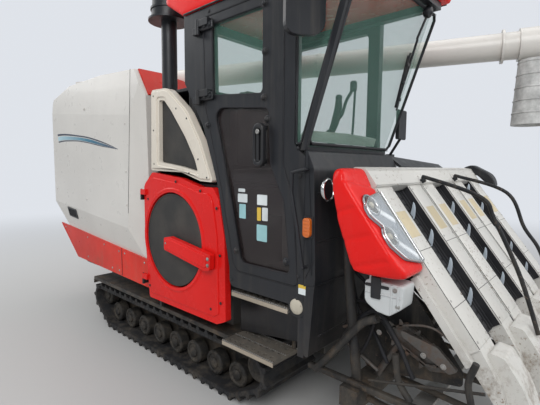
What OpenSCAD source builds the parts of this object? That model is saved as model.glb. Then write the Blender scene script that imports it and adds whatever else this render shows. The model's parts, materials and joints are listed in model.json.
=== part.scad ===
// Head-feeding combine harvester on rubber tracks, six rows, with cab and grain tank.
// +X is forward, +Y is its left, +Z is up. The origin is on the ground below the middle of its box.

/* [Overall] */
// Length from the rear guard to the divider tips
overall_l = 4900; // [4800:10:5100]
// Width from the right mirror to the left guard pipe
overall_w = 2300; // [2260:10:2400]
// Distance from the middle to the side panels
side_y = 955; // [940:5:970]
// Running gap between pieces that move past each other
run_gap = 8; // [6:1:12]
// Gap between round pieces that turn in each other
fit_gap = 0.4; // [0.3:0.1:0.8]
// Gap between the belt and the wheels inside it
belt_gap = 0.9; // [0.8:0.1:1.5]

/* [Tracks] */
// Distance between the middles of the tracks
track_gauge = 1210; // [1180:10:1240]
// Width of a track
track_w = 500; // [450:10:520]
// Thickness of the rubber belt
belt_t = 30; // [24:1:36]
// Height of a lug
lug_h = 25; // [18:1:32]
// Number of lugs round a track
lug_n = 52; // [40:1:60]
// Middle of the ground contact
contact_x = -370; // [-400:5:-340]
// Distance from the first to the last road roller
contact_l = 1690; // [1600:10:1720]
// Radius of a road roller
roller_r = 88; // [80:1:95]
// Number of road rollers
roller_n = 8; // [7:1:8]
// Radius of the idler
idler_r = 85; // [75:1:95]
// Distance of the idler's axle behind the last roller
idler_back = 190; // [185:5:210]
// Height of the idler's and the sprocket's axle
axle_z = 262; // [255:1:270]
// Radius of the drive sprocket
sprocket_r = 100; // [90:1:105]
// Distance of the sprocket's axle ahead of the first roller
sprocket_ahead = 195; // [190:5:205]

/* [Chassis] */
// Height of the deck's underside
deck_z = 440; // [430:1:450]
// Thickness of the deck
deck_t = 30; // [20:1:40]
// Rear end of the deck
deck_rear_x = -2230; // [-2260:5:-2200]
// Front end of the deck
deck_front_x = 640; // [630:5:650]
// Thickness of the track beam
track_beam_w = 110; // [90:5:130]
// Radius of the cross tubes
cross_r = 32; // [28:1:34]

/* [Engine room] */
// Rear edge of the red cover
cover_rear_x = -365; // [-370:5:-355]
// Front edge of the red cover
cover_front_x = 495; // [480:5:500]
// Bottom of the red cover
cover_bottom_z = 560; // [550:5:580]
// Top of the red cover at its rear edge
cover_top_z = 1500; // [1480:5:1520]
// Thickness of the red cover
cover_t = 45; // [40:1:50]
// Radius of the round screen
screen_r = 325; // [300:5:335]
// Middle of the round screen along the machine
screen_x = 10; // [0:5:20]
// Height of the round screen's middle
screen_z = 1030; // [1020:5:1040]
// Rear wall of the engine room
room_rear_x = -262; // [-270:1:-255]
// Top of the engine room behind the cab
room_top_z = 2080; // [2060:5:2100]

/* [Cab] */
// Rear wall of the cab
cab_rear_x = 170; // [165:5:180]
// Front pillars of the cab
pillar_x = 1030; // [1020:5:1040]
// Inner side of the cab
cab_left_y = -40; // [-50:5:-30]
// Height of the cab floor
floor_z = 830; // [820:5:840]
// Underside of the cab roof
roof_z = 2500; // [2490:5:2510]
// Thickness of the cab roof
roof_t = 190; // [180:5:240]
// Front edge of the cab roof
roof_front_x = 1500; // [1480:5:1540]
// Foot of the windscreen
screen_foot_x = 1140; // [1130:5:1150]
// Height of the windscreen's foot
screen_foot_z = 1650; // [1640:5:1660]
// Head of the windscreen
screen_head_x = 1425; // [1410:5:1440]
// Thickness of the cab's panes
pane_t = 6; // [5:1:10]
// Thickness of the cab's frame
frame_t = 50; // [40:2:60]

/* [Grain tank] */
// Front wall of the tank
tank_front_x = -392; // [-396:1:-390]
// Inner side of the tank
tank_left_y = -70; // [-80:5:-65]
// Thickness of the tank's walls
tank_t = 14; // [10:1:20]
// Top of the tank
tank_top_z = 2326; // [2310:2:2330]
// Depth of the side panel's step down to the skirt
skirt_in = 50; // [40:2:60]

/* [Unloading auger] */
// Post that the auger turns on, across the machine
post_y = -500; // [-520:5:-480]
// Radius of the post
post_r = 85; // [80:1:90]
// Height of the auger's middle
auger_z = 2420; // [2415:5:2440]
// Radius of the auger's tube
auger_r = 95; // [90:1:97]
// Length of the auger from the post to its end
auger_l = 4350; // [4250:10:4450]
// Angle of the stowed auger to the machine's length
auger_yaw = 18; // [17:0.5:19]
// Length of the hanging spout
spout_l = 450; // [400:10:480]

/* [Threshing] */
// Rear end of the threshing body
thresh_rear_x = -2000; // [-2020:5:-1980]
// Front end of the threshing body
thresh_front_x = 230; // [220:5:240]
// Right side of the threshing body
thresh_right_y = -40; // [-55:5:-35]
// Left side of the threshing body
thresh_left_y = 900; // [880:5:910]
// Top of the threshing body
thresh_top_z = 1720; // [1700:5:1750]
// Thickness of its walls
thresh_t = 30; // [20:2:40]
// Height of the feed chain
chain_z = 1180; // [1160:5:1200]

/* [Header] */
// Lift pivot along the machine
lift_x = 640; // [630:5:650]
// Lift pivot height
lift_z = 940; // [930:5:950]
// Middle of the header across the machine
header_y = 110; // [100:5:120]
// Distance between the tine lanes
lane_pitch = 575; // [570:1:580]
// Width of a tine lane
lane_w = 200; // [180:2:204]
// Width of a raising case
case_w = 180; // [170:2:184]
// Thickness of a raising case
case_t = 80; // [70:2:90]
// Length of a raising case
case_l = 830; // [820:5:850]
// Top of the raising cases along the machine
case_top_x = 1430; // [1426:2:1436]
// Top of the raising cases' height
case_top_z = 1449; // [1440:2:1455]
// Slope of the raising cases to the level
case_slope = 53; // [52:0.5:55]
// Cross beam along the machine
beam_x = 1400; // [1390:5:1410]
// Cross beam height
beam_z = 420; // [410:5:430]
// Half width of the cross beam
beam_r = 50; // [45:1:55]
// Radius of the header's arm
arm_r = 55; // [50:1:60]

/* [Hidden] */

$fn = 48;

red = "#d21f1c";
cream = "#e9e2d2";
charcoal = "#2c2d30";
black = "#1c1c1d";
steel = "#8d8d8b";
pane = "#8fc7b4";

rubber_z = belt_t + lug_h;
roller_z = roller_r + rubber_z;
first_roller_x = contact_x + contact_l / 2;
last_roller_x = contact_x - contact_l / 2;
idler_x = last_roller_x - idler_back;
sprocket_x = first_roller_x + sprocket_ahead;
floor_top_z = deck_z + deck_t;
post_back = 95;
post_x = deck_rear_x - post_back;
tank_rear_x = post_x + post_r + 50;
seat_gap = 0.3;

// Low and high corner to a block
module block(x0, x1, y0, y1, z0, z1) {
    translate([x0, y0, z0])
        cube([x1 - x0, y1 - y0, z1 - z0]);
}

// An outline of [x, z] points carried across from y0 to y1
module across(y0, y1) {
    translate([0, y1, 0])
        rotate([90, 0, 0])
            linear_extrude(y1 - y0)
                children();
}

// A round bar across the machine
module bar_y(x, z, r, y0, y1) {
    translate([x, y1, z])
        rotate([90, 0, 0])
            cylinder(r = r, h = y1 - y0);
}

// A round bar from one point to another
module bar(a, b, r, fn = 24) {
    d = b - a;
    translate(a)
        rotate([0, acos(d.z / norm(d)), atan2(d.y, d.x)])
            cylinder(r = r, h = norm(d), $fn = fn);
}

// All that lies past the plane through p with the outward normal n
module beyond(p, n, depth = 3000) {
    translate(p)
        rotate([0, acos(n.z / norm(n)), atan2(n.y, n.x)])
            translate([-5000, -5000, 0])
                cube([10000, 10000, depth]);
}

// Hinge knuckles up the z axis: a fixed one with its pin, and a moving one above it with its bore
hinge_r = 10;
hinge_pin_r = 5;
pin_gap = 0.08;
knuckle_h = 40;
module fixed_knuckle() {
    cylinder(r = hinge_r, h = knuckle_h);
    cylinder(r = hinge_pin_r, h = 2 * knuckle_h + 4);
    children();
}
module moving_knuckle() {
    translate([0, 0, knuckle_h + fit_gap])
        difference() {
            union() {
                cylinder(r = hinge_r, h = knuckle_h);
                children();
            }
            translate([0, 0, -1])
                cylinder(r = hinge_pin_r + pin_gap, h = knuckle_h + 2);
        }
}

// Outlines with round corners, from rows of [x, z, corner radius]
function unit(v) = v / norm(v);
function corner(a, p, b, r, steps = 5) =
    r <= 0 ? [p] :
    let(u = unit(a - p), v = unit(b - p), half = acos(u * v) / 2,
        mid = p + unit(u + v) * r / sin(half), s = p + u * r / tan(half) - mid,
        e = p + v * r / tan(half) - mid, a0 = atan2(s.y, s.x),
        turn = (atan2(e.y, e.x) - a0 + 540) % 360 - 180)
    [for (i = [0:steps]) mid + r * [cos(a0 + turn * i / steps), sin(a0 + turn * i / steps)]];
function rounded(rows) =
    let(n = len(rows), at = function(i) [rows[(i + n) % n].x, rows[(i + n) % n].y])
    [for (i = [0:n - 1]) each corner(at(i - 1), at(i), at(i + 1), rows[i][2])];

// The track's path round its wheels, as rows of [distance, x, z, outward angle]
track_wheels = [
    // x, z, radius
    [idler_x, axle_z, idler_r],
    [last_roller_x, roller_z, roller_r],
    [first_roller_x, roller_z, roller_r],
    [sprocket_x, axle_z, sprocket_r],
];
function wheel(i) = track_wheels[(i + len(track_wheels)) % len(track_wheels)];
function tangent(i) =
    let(a = wheel(i), b = wheel(i + 1), d = [b.x - a.x, b.y - a.y])
    atan2(d.y, d.x) - acos((a[2] - b[2]) / norm(d));
function arc_turn(i) = (tangent(i) - tangent(i - 1) + 720) % 360;
arc_steps = 12;
path_points = [for (i = [0:len(track_wheels) - 1]) for (k = [0:arc_steps])
    let(angle = tangent(i - 1) + arc_turn(i) * k / arc_steps)
    [wheel(i).x, wheel(i).y, wheel(i)[2], angle]];
function on_path(row, out) = [row.x, row.y] + (row[2] + out) * [cos(row[3]), sin(row[3])];
function belt_outline(out) = [for (row = path_points) on_path(row, out)];
base_line = belt_outline(belt_t);
base_n = len(base_line);
function run(i) = i == 0 ? 0 : run(i - 1) + norm(base_line[i % base_n] - base_line[i - 1]);
runs = [for (i = [0:base_n]) run(i)];
loop_l = runs[base_n];
x_table = [for (i = [0:base_n]) [runs[i], base_line[i % base_n].x]];
z_table = [for (i = [0:base_n]) [runs[i], base_line[i % base_n].y]];
function along(s) = let(t = (s + loop_l) % loop_l) [lookup(t, x_table), lookup(t, z_table)];
function outward(s) = let(d = along(s + 5) - along(s - 5)) unit([d.y, -d.x]);
lug_share = 0.42;
lug_top_share = 0.3;
lug_outline = [for (i = [0:lug_n - 1])
    let(s = loop_l * i / lug_n, w = loop_l / lug_n)
    each [along(s), along(s + w * (1 - lug_share)),
        along(s + w * (1 - lug_top_share)) + lug_h * outward(s + w * (1 - lug_top_share / 2)),
        along(s + w * 0.9) + lug_h * outward(s + w * 0.9)]];

module track(side) {
    mid = side * track_gauge / 2;
    color(black)
        across(mid - track_w / 2, mid + track_w / 2)
            difference() {
                polygon(lug_outline);
                polygon(belt_outline(0));
            }
}
module track_right() track(-1);
module track_left() track(1);

// Road rollers in pairs on one axle, the idler and the drive sprocket
wheel_half_w = 165;
wheel_w = 70;
axle_r = 22;
sprocket_teeth = 13;
roller_xs = [for (i = [0:roller_n - 1]) last_roller_x + contact_l * i / (roller_n - 1)];
module wheel_pair(x, z, r, mid) {
    for (end = [-1, 1])
        bar_y(x, z, r - belt_gap, mid + end * (wheel_half_w - wheel_w / 2) - wheel_w / 2,
            mid + end * (wheel_half_w - wheel_w / 2) + wheel_w / 2);
    bar_y(x, z, axle_r, mid - wheel_half_w, mid + wheel_half_w);
}
module sprocket(mid) {
    tooth_a = 360 / sprocket_teeth;
    across(mid - wheel_half_w / 2, mid + wheel_half_w / 2)
        translate([sprocket_x, axle_z])
            polygon([for (i = [0:sprocket_teeth - 1]) each [
                (sprocket_r - belt_gap) * [cos(i * tooth_a), sin(i * tooth_a)],
                (sprocket_r - belt_gap) * [cos((i + 0.35) * tooth_a), sin((i + 0.35) * tooth_a)],
                (sprocket_r - 22) * [cos((i + 0.5) * tooth_a), sin((i + 0.5) * tooth_a)],
                (sprocket_r - 22) * [cos((i + 0.85) * tooth_a), sin((i + 0.85) * tooth_a)]]]);
}
module rollers() {
    color(charcoal)
        for (mid = [-track_gauge / 2, track_gauge / 2]) {
            for (x = roller_xs)
                wheel_pair(x, roller_z, roller_r, mid);
            wheel_pair(idler_x, axle_z, idler_r, mid);
            sprocket(mid);
        }
}

// The beams that carry the rollers, with a fork for the idler
track_beam_z0 = roller_z - 40;
track_beam_z1 = axle_z + 40;
cross_xs = [-1250, -620, 20];
cross_z = axle_z + 14;
module track_beams() {
    color(charcoal)
        for (side = [-1, 1]) {
            mid = side * track_gauge / 2;
            difference() {
                across(mid - track_beam_w / 2, mid + track_beam_w / 2)
                    polygon([[idler_x - 50, axle_z - 40], [last_roller_x - 40, track_beam_z0],
                        [first_roller_x + 50, track_beam_z0], [first_roller_x + 50, track_beam_z1 - 60],
                        [first_roller_x - 60, track_beam_z1], [idler_x - 50, track_beam_z1]]);
                for (x = roller_xs)
                    bar_y(x, roller_z, axle_r + fit_gap, mid - track_w, mid + track_w);
                bar_y(idler_x, axle_z, axle_r + fit_gap, mid - track_w, mid + track_w);
            }
        }
    color(charcoal)
        difference() {
            for (x = cross_xs)
                bar_y(x, cross_z, cross_r, -(track_gauge - track_beam_w) / 2 + seat_gap,
                    (track_gauge - track_beam_w) / 2 - seat_gap);
            for (side = [-1, 1])
                block(deck_rear_x, beam_front_x, side * long_beam_y - long_beam_w / 2 - seat_gap,
                    side * long_beam_y + long_beam_w / 2 + seat_gap, beam_bottom_z, deck_z);
        }
}

// Two long beams, the header's pivot plates, the lift ram's lugs and the tow plate
long_beam_y = 300;
long_beam_w = 80;
shaft_r = 60;
beam_front_x = sprocket_x - shaft_r - 2;
beam_bottom_z = 224;
pivot_r = 30;
pivot_ys = [
    // from y, to y
    [36, 56],
    [764, 784],
];
pivot_rows = [
    // x, z, corner radius
    [520, floor_top_z + seat_gap, 0], [636, floor_top_z + seat_gap, 0], [636, 700, 100],
    [lift_x + 60, lift_z - 40, 40], [lift_x + 60, lift_z + 70, 50], [lift_x - 60, lift_z + 70, 50],
    [lift_x - 80, lift_z - 40, 40]];
tow_z = 330;
tow_t = 25;
tow_plate_t = 26;
tow_pin_r = 16;
tie_r = 15;
tie_y = 250;
tow_x = deck_rear_x - 80;
module tow_lug(y, half_w, r) {
    difference() {
        block(tow_x - 42, deck_rear_x - tow_plate_t, y - half_w, y + half_w, tow_z, tow_z + tow_t);
        translate([tow_x, y, tow_z - 1])
            cylinder(r = r, h = tow_t + 2);
    }
}
module chassis_frame() {
    color(charcoal) {
        for (side = [-1, 1])
            block(deck_rear_x, beam_front_x, side * long_beam_y - long_beam_w / 2,
                side * long_beam_y + long_beam_w / 2, beam_bottom_z, deck_z - seat_gap);
        for (side = [-1, 1])
            across(ram_y + side * lug_off - lug_half, ram_y + side * lug_off + lug_half)
                polygon([[ram_a.x - 80, floor_top_z + seat_gap], [ram_a.x + 70, floor_top_z + seat_gap],
                    [ram_a.x + 25, ram_a.z + 30], [ram_a.x - 35, ram_a.z + 30]]);
        bar_y(ram_a.x, ram_a.z, ram_pin_r, ram_y - lug_off - lug_half, ram_y + lug_off + lug_half);
        for (row = pivot_ys)
            difference() {
                across(row[0], row[1])
                    polygon(rounded(pivot_rows));
                bar_y(lift_x, lift_z, pivot_r + pin_gap, row[0] - 1, row[1] + 1);
            }
        block(deck_rear_x - tow_plate_t, deck_rear_x - seat_gap, -long_beam_y - 40, long_beam_y + 40, 260, 400);
        tow_lug(0, 60, tow_pin_r);
        for (side = [-1, 1])
            tow_lug(side * tie_y, 40, tie_r);
    }
}

module deck() {
    color(charcoal) {
        block(deck_rear_x, step_rear_x, -side_y + 60, side_y - 60, deck_z, floor_top_z);
        block(step_rear_x, deck_front_x, -side_y + step_d, side_y - 60, deck_z, floor_top_z);
    }
}

// Gear case between the tracks, with a shaft out to each sprocket
case_half_y = 210;
case_drop = 70;
module transmission() {
    color(steel) {
        block(deck_front_x + 4, deck_front_x + 150, -case_half_y, case_half_y,
            axle_z - case_drop, deck_z + 150);
        block(sprocket_x - 90, deck_front_x + 4, -case_half_y, case_half_y, axle_z - case_drop, deck_z - 4);
        bar_y(sprocket_x, axle_z, shaft_r, -(track_gauge - wheel_half_w) / 2,
            (track_gauge - wheel_half_w) / 2);
    }
}

// The engine, one plain block
engine_x = 100;
engine_y = -510;
engine_l = 640;
engine_w = 500;
engine_h = 710;
module engine() {
    color(steel)
        block(engine_x - engine_l / 2, engine_x + engine_l / 2, engine_y - engine_w / 2,
            engine_y + engine_w / 2, floor_top_z, floor_top_z + engine_h);
}

// Walls round the engine, open at the side that the red cover closes
cover_hinge_x = (cover_rear_x + tank_front_x) / 2;
cover_hinge_y = -side_y - 14;
cover_hinge_zs = [640, 1290];
cover_bracket_y = -side_y + cover_t + 12;
room_right_y = -side_y + cover_t + 10;
room_wall = 20;
module engine_room() {
    color(charcoal) {
        block(room_rear_x, room_rear_x + room_wall, room_right_y, thresh_right_y - 12,
            floor_top_z, room_top_z - 30);
        block(room_rear_x + room_wall, cab_rear_x - 12, room_right_y, thresh_right_y - 12,
            cover_top_z + 20, cover_top_z + 20 + room_wall);
        block(cab_rear_x - 12 - room_wall, cab_rear_x - 12, room_right_y, thresh_right_y - 12,
            cover_top_z + 20 + room_wall, room_top_z - 30);
        block(room_rear_x, cab_rear_x - 12, room_right_y, thresh_right_y - 12,
            room_top_z - 30, room_top_z - 30 + room_wall);
        for (z = cover_hinge_zs)
            translate([cover_hinge_x, cover_hinge_y, z])
                fixed_knuckle() {
                    block(-4, 4, 0, cover_bracket_y - cover_hinge_y + 8, 0, knuckle_h);
                    block(-4, room_rear_x - cover_hinge_x + 1, cover_bracket_y - cover_hinge_y,
                        cover_bracket_y - cover_hinge_y + 8, 0, knuckle_h);
                }
    }
}

// Cream panel over the red cover, with a meshed opening
grille_rows = [[-258, 1513, 20], [-240, 2088, 30], [-30, 2080, 150], [190, 1912, 300],
    [330, 1710, 300], [452, 1447, 15], [322, 1452, 60], [120, 1505, 100]];
grille_hole_rows = [[-147, 1575, 15], [-140, 2008, 15], [-75, 2000, 40], [5, 1925, 150],
    [165, 1740, 300], [265, 1595, 200], [300, 1510, 10], [104, 1545, 60]];
module grille_panel() {
    color(cream)
        across(-side_y, -side_y + 40)
            difference() {
                polygon(rounded(grille_rows));
                polygon(rounded(grille_hole_rows));
            }
    color(black)
        across(-side_y + 40, -side_y + 50)
            polygon(rounded(grille_rows));
}

// Intake pipe with its pre-cleaner, from the engine room's roof
intake_x = -190;
intake_y = -830;
intake_r = 55;
intake_base_z = room_top_z - 30 + room_wall + seat_gap;
intake_rings = [
    // from z, radius, height
    [2578, 145, 14],
    [2592, 122, 60],
    [2652, 128, 16],
    [2668, 116, 50],
    [2718, 90, 22],
];
module intake_pipe() {
    color(charcoal) {
        translate([intake_x, intake_y, intake_base_z])
            cylinder(r = intake_r, h = intake_rings[0][0] - intake_base_z);
        translate([intake_x, intake_y, intake_base_z])
            cylinder(r = intake_r + 14, h = 30);
        for (row = intake_rings)
            translate([intake_x, intake_y, row[0]])
                cylinder(r = row[1], h = row[2]);
    }
}

// The door's outline, which the cab's frame is cut to
door_rows = [
    // x, z, corner radius
    [365, 2440, 30], [1012, 2440, 30], [1012, 1560, 60], [1085, 1380, 60],
    [1118, 935, 20], [648, 935, 60], [535, 1405, 200], [388, 1900, 200]];
screen_bar_t = 24;
frame_rows = [
    [cab_rear_x, roof_z, 0], [pillar_x + 60, roof_z, 0], [pillar_x + 60, screen_foot_z, 40],
    [1160, 1600, 20], [1160, floor_z, 0], [602, floor_z, 40], [600, 943, 60], [502, 1405, 200],
    [470, 1500, 100], [355, 1800, 150], [cab_rear_x, 2080, 30]];
left_window_rows = [[260, 2430, 40], [pillar_x - 20, 2430, 40], [pillar_x - 20, 1000, 60], [560, 1000, 120],
    [300, 1640, 120]];
door_hinge_x = 342;
door_hinge_y = -side_y - 25;
door_hinge_zs = [1930, 2345];
roof_rail_h = 40;
screen_bar_rows = [[screen_foot_x - 12, screen_foot_z - 20], [screen_foot_x + 18, screen_foot_z - 20],
    [screen_head_x + 18, roof_z - seat_gap], [screen_head_x - 12, roof_z - seat_gap]];
module cab_frame() {
    color(charcoal) {
        for (z = door_hinge_zs)
            translate([door_hinge_x, door_hinge_y, z])
                fixed_knuckle()
                    block(-42, 0, -8, 26, 0, knuckle_h);
        across(-side_y, -side_y + screen_bar_t)
            polygon(screen_bar_rows);
        across(-side_y, -side_y + frame_t)
            difference() {
                polygon(rounded(frame_rows));
                offset(delta = run_gap)
                    polygon(rounded(door_rows));
            }
        across(cab_left_y - frame_t, cab_left_y)
            difference() {
                polygon(rounded(frame_rows));
                polygon(rounded(left_window_rows));
            }
        difference() {
            block(cab_rear_x, cab_rear_x + frame_t, -side_y + frame_t, cab_left_y - frame_t, 1700, roof_z);
            block(cab_rear_x - 1, cab_rear_x + frame_t + 1, -side_y + 2 * frame_t,
                cab_left_y - 2 * frame_t, 1760, roof_z - 60);
        }
        for (y = [-side_y + frame_t, cab_left_y - 2 * frame_t])
            block(cab_rear_x, roof_front_x - 80, y, y + frame_t, roof_z - roof_rail_h, roof_z);
        block(roof_front_x - 80, roof_front_x - 30, -side_y + frame_t, cab_left_y - frame_t,
            roof_z - roof_rail_h, roof_z);
        block(1130, cowl_rear_x - seat_gap, -side_y + frame_t, cab_left_y - frame_t,
            floor_z, screen_foot_z - 20);
    }
}

// Floor of the footwell, and the raised floor that carries the seat
floor_t = 30;
raised_floor_z = 1400;
floor_edge_x = 500;
module cab_floor() {
    color(charcoal) {
        block(floor_edge_x, 1128, -side_y + frame_t + seat_gap, cab_left_y - frame_t - seat_gap,
            floor_z, floor_z + floor_t);
        block(cab_rear_x + 20, floor_edge_x - 2, -side_y + frame_t + seat_gap, cab_left_y - frame_t - seat_gap,
            raised_floor_z, raised_floor_z + floor_t);
    }
}

roof_rear_x = -25;
module cab_roof() {
    color(red)
        across(-side_y - 10, cab_left_y + 10)
            polygon(rounded([[cab_rear_x - 5, roof_z + seat_gap, 10], [roof_front_x, roof_z + seat_gap, 10],
                [roof_front_x + 25, roof_z + 50, 25], [roof_front_x - 60, roof_z + 130, 80],
                [roof_front_x - 320, roof_z + roof_t, 150], [cab_rear_x + 60, roof_z + roof_t, 150],
                [roof_rear_x, roof_z + 175, 30], [roof_rear_x, roof_z + 118, 12]]));
}

// Windscreen, quarter panes and the fixed side and rear panes
pane_y0 = -side_y + screen_bar_t + seat_gap;
module cab_panes() {
    color(pane) {
        across(pane_y0, cab_left_y - 4)
            polygon([[screen_foot_x, screen_foot_z], [screen_foot_x + pane_t, screen_foot_z],
                [screen_head_x + pane_t, roof_z - 42], [screen_head_x, roof_z - 42]]);
        for (y = [-side_y + 8, cab_left_y - 14 - pane_t])
            across(y, y + pane_t)
                polygon([[pillar_x + 62, screen_foot_z + 10], [screen_foot_x - 14, screen_foot_z + 10],
                    [screen_head_x - 14, roof_z - 2], [pillar_x + 62, roof_z - 2]]);
        across(cab_left_y - frame_t / 2, cab_left_y - frame_t / 2 + pane_t)
            offset(delta = -seat_gap)
                polygon(rounded(left_window_rows));
        block(cab_rear_x + 20, cab_rear_x + 20 + pane_t, -side_y + 2 * frame_t + seat_gap,
            cab_left_y - 2 * frame_t - seat_gap, 1760 + seat_gap, roof_z - 60 - seat_gap);
    }
}

// Front panel under the windscreen and down past the steps, with a grab rail on its side
cowl_rear_x = 1162;
cowl_rows = [[cowl_rear_x, 590, 20], [1195, 565, 14], [1232, 1000, 60], [1215, 1540, 80], [1175, 1626, 15],
    [cowl_rear_x, 1630, 2]];
grab_points = [
    // x, y, z
    [1180, -side_y + 10, 1535],
    [1180, -side_y - 35, 1535],
    [1105, -side_y - 34, 1519],
    [1104, -side_y - 35, 1420],
    [1142, -side_y - 35, 1250],
    [1178, -side_y - 35, 1050],
    [1178, -side_y + 10, 1050],
];
grab_r = 9;
module cowl() {
    color(charcoal) {
        across(-side_y, cab_left_y)
            polygon(rounded(cowl_rows));
        for (i = [1:len(grab_points) - 1])
            bar(grab_points[i - 1], grab_points[i], grab_r, 16);
        for (i = [1:len(grab_points) - 2])
            translate(grab_points[i])
                rotate([50, 0, 30])
                    sphere(r = grab_r + 0.8, $fn = 16);
    }
}

// Orange lamp on the cowl's side
module indicator() {
    color("#e07a12")
        across(-side_y - 22, -side_y - seat_gap)
            polygon(rounded([[1166, 1202, 18], [1210, 1202, 18], [1210, 1298, 18], [1166, 1298, 18]]));
}

// Hood left of the cab, over the feed inlet
hood_t = 16;
hood_fall = 2.9;
hood_rows = [
    // x, z
    [thresh_front_x + seat_gap, 1400], [thresh_front_x + seat_gap, 1490], [300, 1610], [1150, 1625],
    [1238, 1560], [1246, 1480]];
function hood_top(x) = hood_rows[2].y
    + (x - hood_rows[2].x) * (hood_rows[3].y - hood_rows[2].y) / (hood_rows[3].x - hood_rows[2].x);
module on_hood() {
    translate([0, cab_left_y + 12, hood_rows[3].y])
        rotate([-hood_fall, 0, 0])
            translate([0, -cab_left_y - 12, -hood_rows[3].y])
                children();
}
module feed_hood() {
    color(charcoal)
        on_hood()
            across(cab_left_y + 12, thresh_left_y)
                difference() {
                    polygon(hood_rows);
                    offset(delta = -hood_t)
                        polygon(concat(hood_rows, [[1246 + hood_t, 1200], [thresh_front_x + seat_gap, 1200]]));
                }
}

// Seat on the raised floor behind the footwell
seat_y = -510;
seat_w = 460;
cushion_x0 = 360;
cushion_x1 = 800;
cushion_top_z = 1540;
back_x0 = 330;
back_x1 = 430;
back_top_z = 2060;
module seat() {
    color(black) {
        block(cushion_x0, cushion_x1, seat_y - seat_w / 2, seat_y + seat_w / 2,
            raised_floor_z + floor_t + seat_gap, cushion_top_z);
        block(back_x0, back_x1, seat_y - seat_w / 2 + 10, seat_y + seat_w / 2 - 10, cushion_top_z, back_top_z);
    }
}

module console() {
    color(charcoal) {
        block(560, 1020, -260, -110, floor_z + floor_t + seat_gap, 1480);
        block(960, 1100, -640, -400, floor_z + floor_t + seat_gap, 1560);
        bar([1030, -520, 1560], [1010, -520, 1760], 18);
        bar([760, -185, 1480], [800, -185, 1700], 12);
        bar([860, -185, 1480], [900, -185, 1660], 12);
    }
}

// Perforated steps below the door
step_rear_x = 520;
step_d = 230;
step_holes = [[0, 1, 2, 3, 4, 5, 6, 7], [0, 1, 2]];
module step_plate(x0, x1, y0, y1, z) {
    difference() {
        block(x0, x1, y0, y1, z - 25, z);
        for (i = step_holes[0], j = step_holes[1])
            translate([x0 + 40 + i * (x1 - x0 - 80) / 7, y0 + 45 + j * (y1 - y0 - 90) / 2, z - 30])
                cylinder(r = 12, h = 40, $fn = 16);
    }
}
module steps() {
    color(steel) {
        step_plate(620, 1060, -side_y, -side_y + 180, 800);
        step_plate(step_rear_x + 10, step_rear_x + 430, -side_y, -side_y + step_d - seat_gap, floor_top_z - 4);
    }
}

// Panel behind the steps, under the cab
module side_valance() {
    color(charcoal) {
        across(-side_y + 180 + seat_gap, -side_y + 202)
            polygon([[510, floor_top_z + seat_gap], [1150, 560], [1150, floor_z - seat_gap],
                [600, floor_z - seat_gap], [510, 800]]);
        block(1120, 1160, -side_y + 10, -side_y + 182, 560, floor_z - seat_gap);
    }
}

// Wiper on the windscreen, hanging from its head, at [y, z] down the pane
wiper_rows = [
    // y, z
    [-200, 2432],
    [-215, 2290],
    [-175, 1930],
];
function on_screen(row, off) =
    let(run = (screen_head_x - screen_foot_x) / (roof_z - 42 - screen_foot_z))
    [screen_foot_x + pane_t + (row[1] - screen_foot_z) * run, row[0], row[1]] + off * unit([1, 0, -run]);
module wiper() {
    color(black) {
        for (i = [1, 2])
            bar(on_screen(wiper_rows[i - 1], 20), on_screen(wiper_rows[i], 16), 7, 12);
        bar(on_screen(wiper_rows[0], seat_gap), on_screen(wiper_rows[0], 34), 24, 24);
        bar(on_screen([-230, 2200], 9 + seat_gap), on_screen([-165, 1920], 9 + seat_gap), 9, 12);
    }
}

// Mirrors: the right one on an arm from the front pillar, the left one on a foot on the hood
mirror_x = 1190;
mirror_zs = [2130, 2490];
mirror_t = 30;
mirror_turn = 65.2;
mirror_clear = 13.4;
mirror_w = (overall_w / 2 - side_y - mirror_clear) / sin(mirror_turn);
mirror_rows = [
    // along the mirror, z, corner radius
    [0, mirror_zs[0], 0.25 * mirror_w],
    [mirror_w, mirror_zs[0] + 15, 0.35 * mirror_w],
    [mirror_w, mirror_zs[1], 0.15 * mirror_w],
    [0, mirror_zs[1], 0.15 * mirror_w],
];
mirror_mid = [mirror_x, -overall_w / 2] + mirror_w / 2 * [cos(mirror_turn), sin(mirror_turn)]
    + mirror_t / 2 * [-sin(mirror_turn), cos(mirror_turn)];
mirror_arm_r = 12;
mirror_arm_x = pillar_x + 40;
mirror_arm_z = 2467;
mirror_foot_r = 18;
mirror_foot_t = 14;
left_mirror_y = 55;
left_mirror_w = 110;
left_mirror_rows = [[1178, 1735, 10], [1202, 1735, 10], [1202, 1930, 10], [1178, 1930, 10]];
left_arm_r = 9;
left_foot_w = 44;
left_foot_xs = [1095, 1140];
left_foot_z = 1642;
module mirrors() {
    color(black) {
        translate([mirror_x, -overall_w / 2, 0])
            rotate(mirror_turn)
                across(0, mirror_t)
                    polygon(rounded(mirror_rows));
        bar_y(mirror_arm_x, mirror_arm_z, mirror_foot_r, -side_y - mirror_foot_t, -side_y - seat_gap);
        bar([mirror_arm_x, -side_y - mirror_foot_t, mirror_arm_z],
            [mirror_mid.x, mirror_mid.y, mirror_arm_z], mirror_arm_r);
        across(left_mirror_y - left_mirror_w / 2, left_mirror_y + left_mirror_w / 2)
            polygon(rounded(left_mirror_rows));
        bar([1118, left_mirror_y, 1634], [1190, left_mirror_y, 1745], left_arm_r);
        on_hood()
            across(left_mirror_y - left_foot_w / 2, left_mirror_y + left_foot_w / 2)
                polygon([[left_foot_xs[0], hood_top(left_foot_xs[0]) + seat_gap],
                    [left_foot_xs[1], hood_top(left_foot_xs[1]) + seat_gap],
                    [left_foot_xs[1], left_foot_z], [left_foot_xs[0], left_foot_z]]);
    }
}

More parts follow.
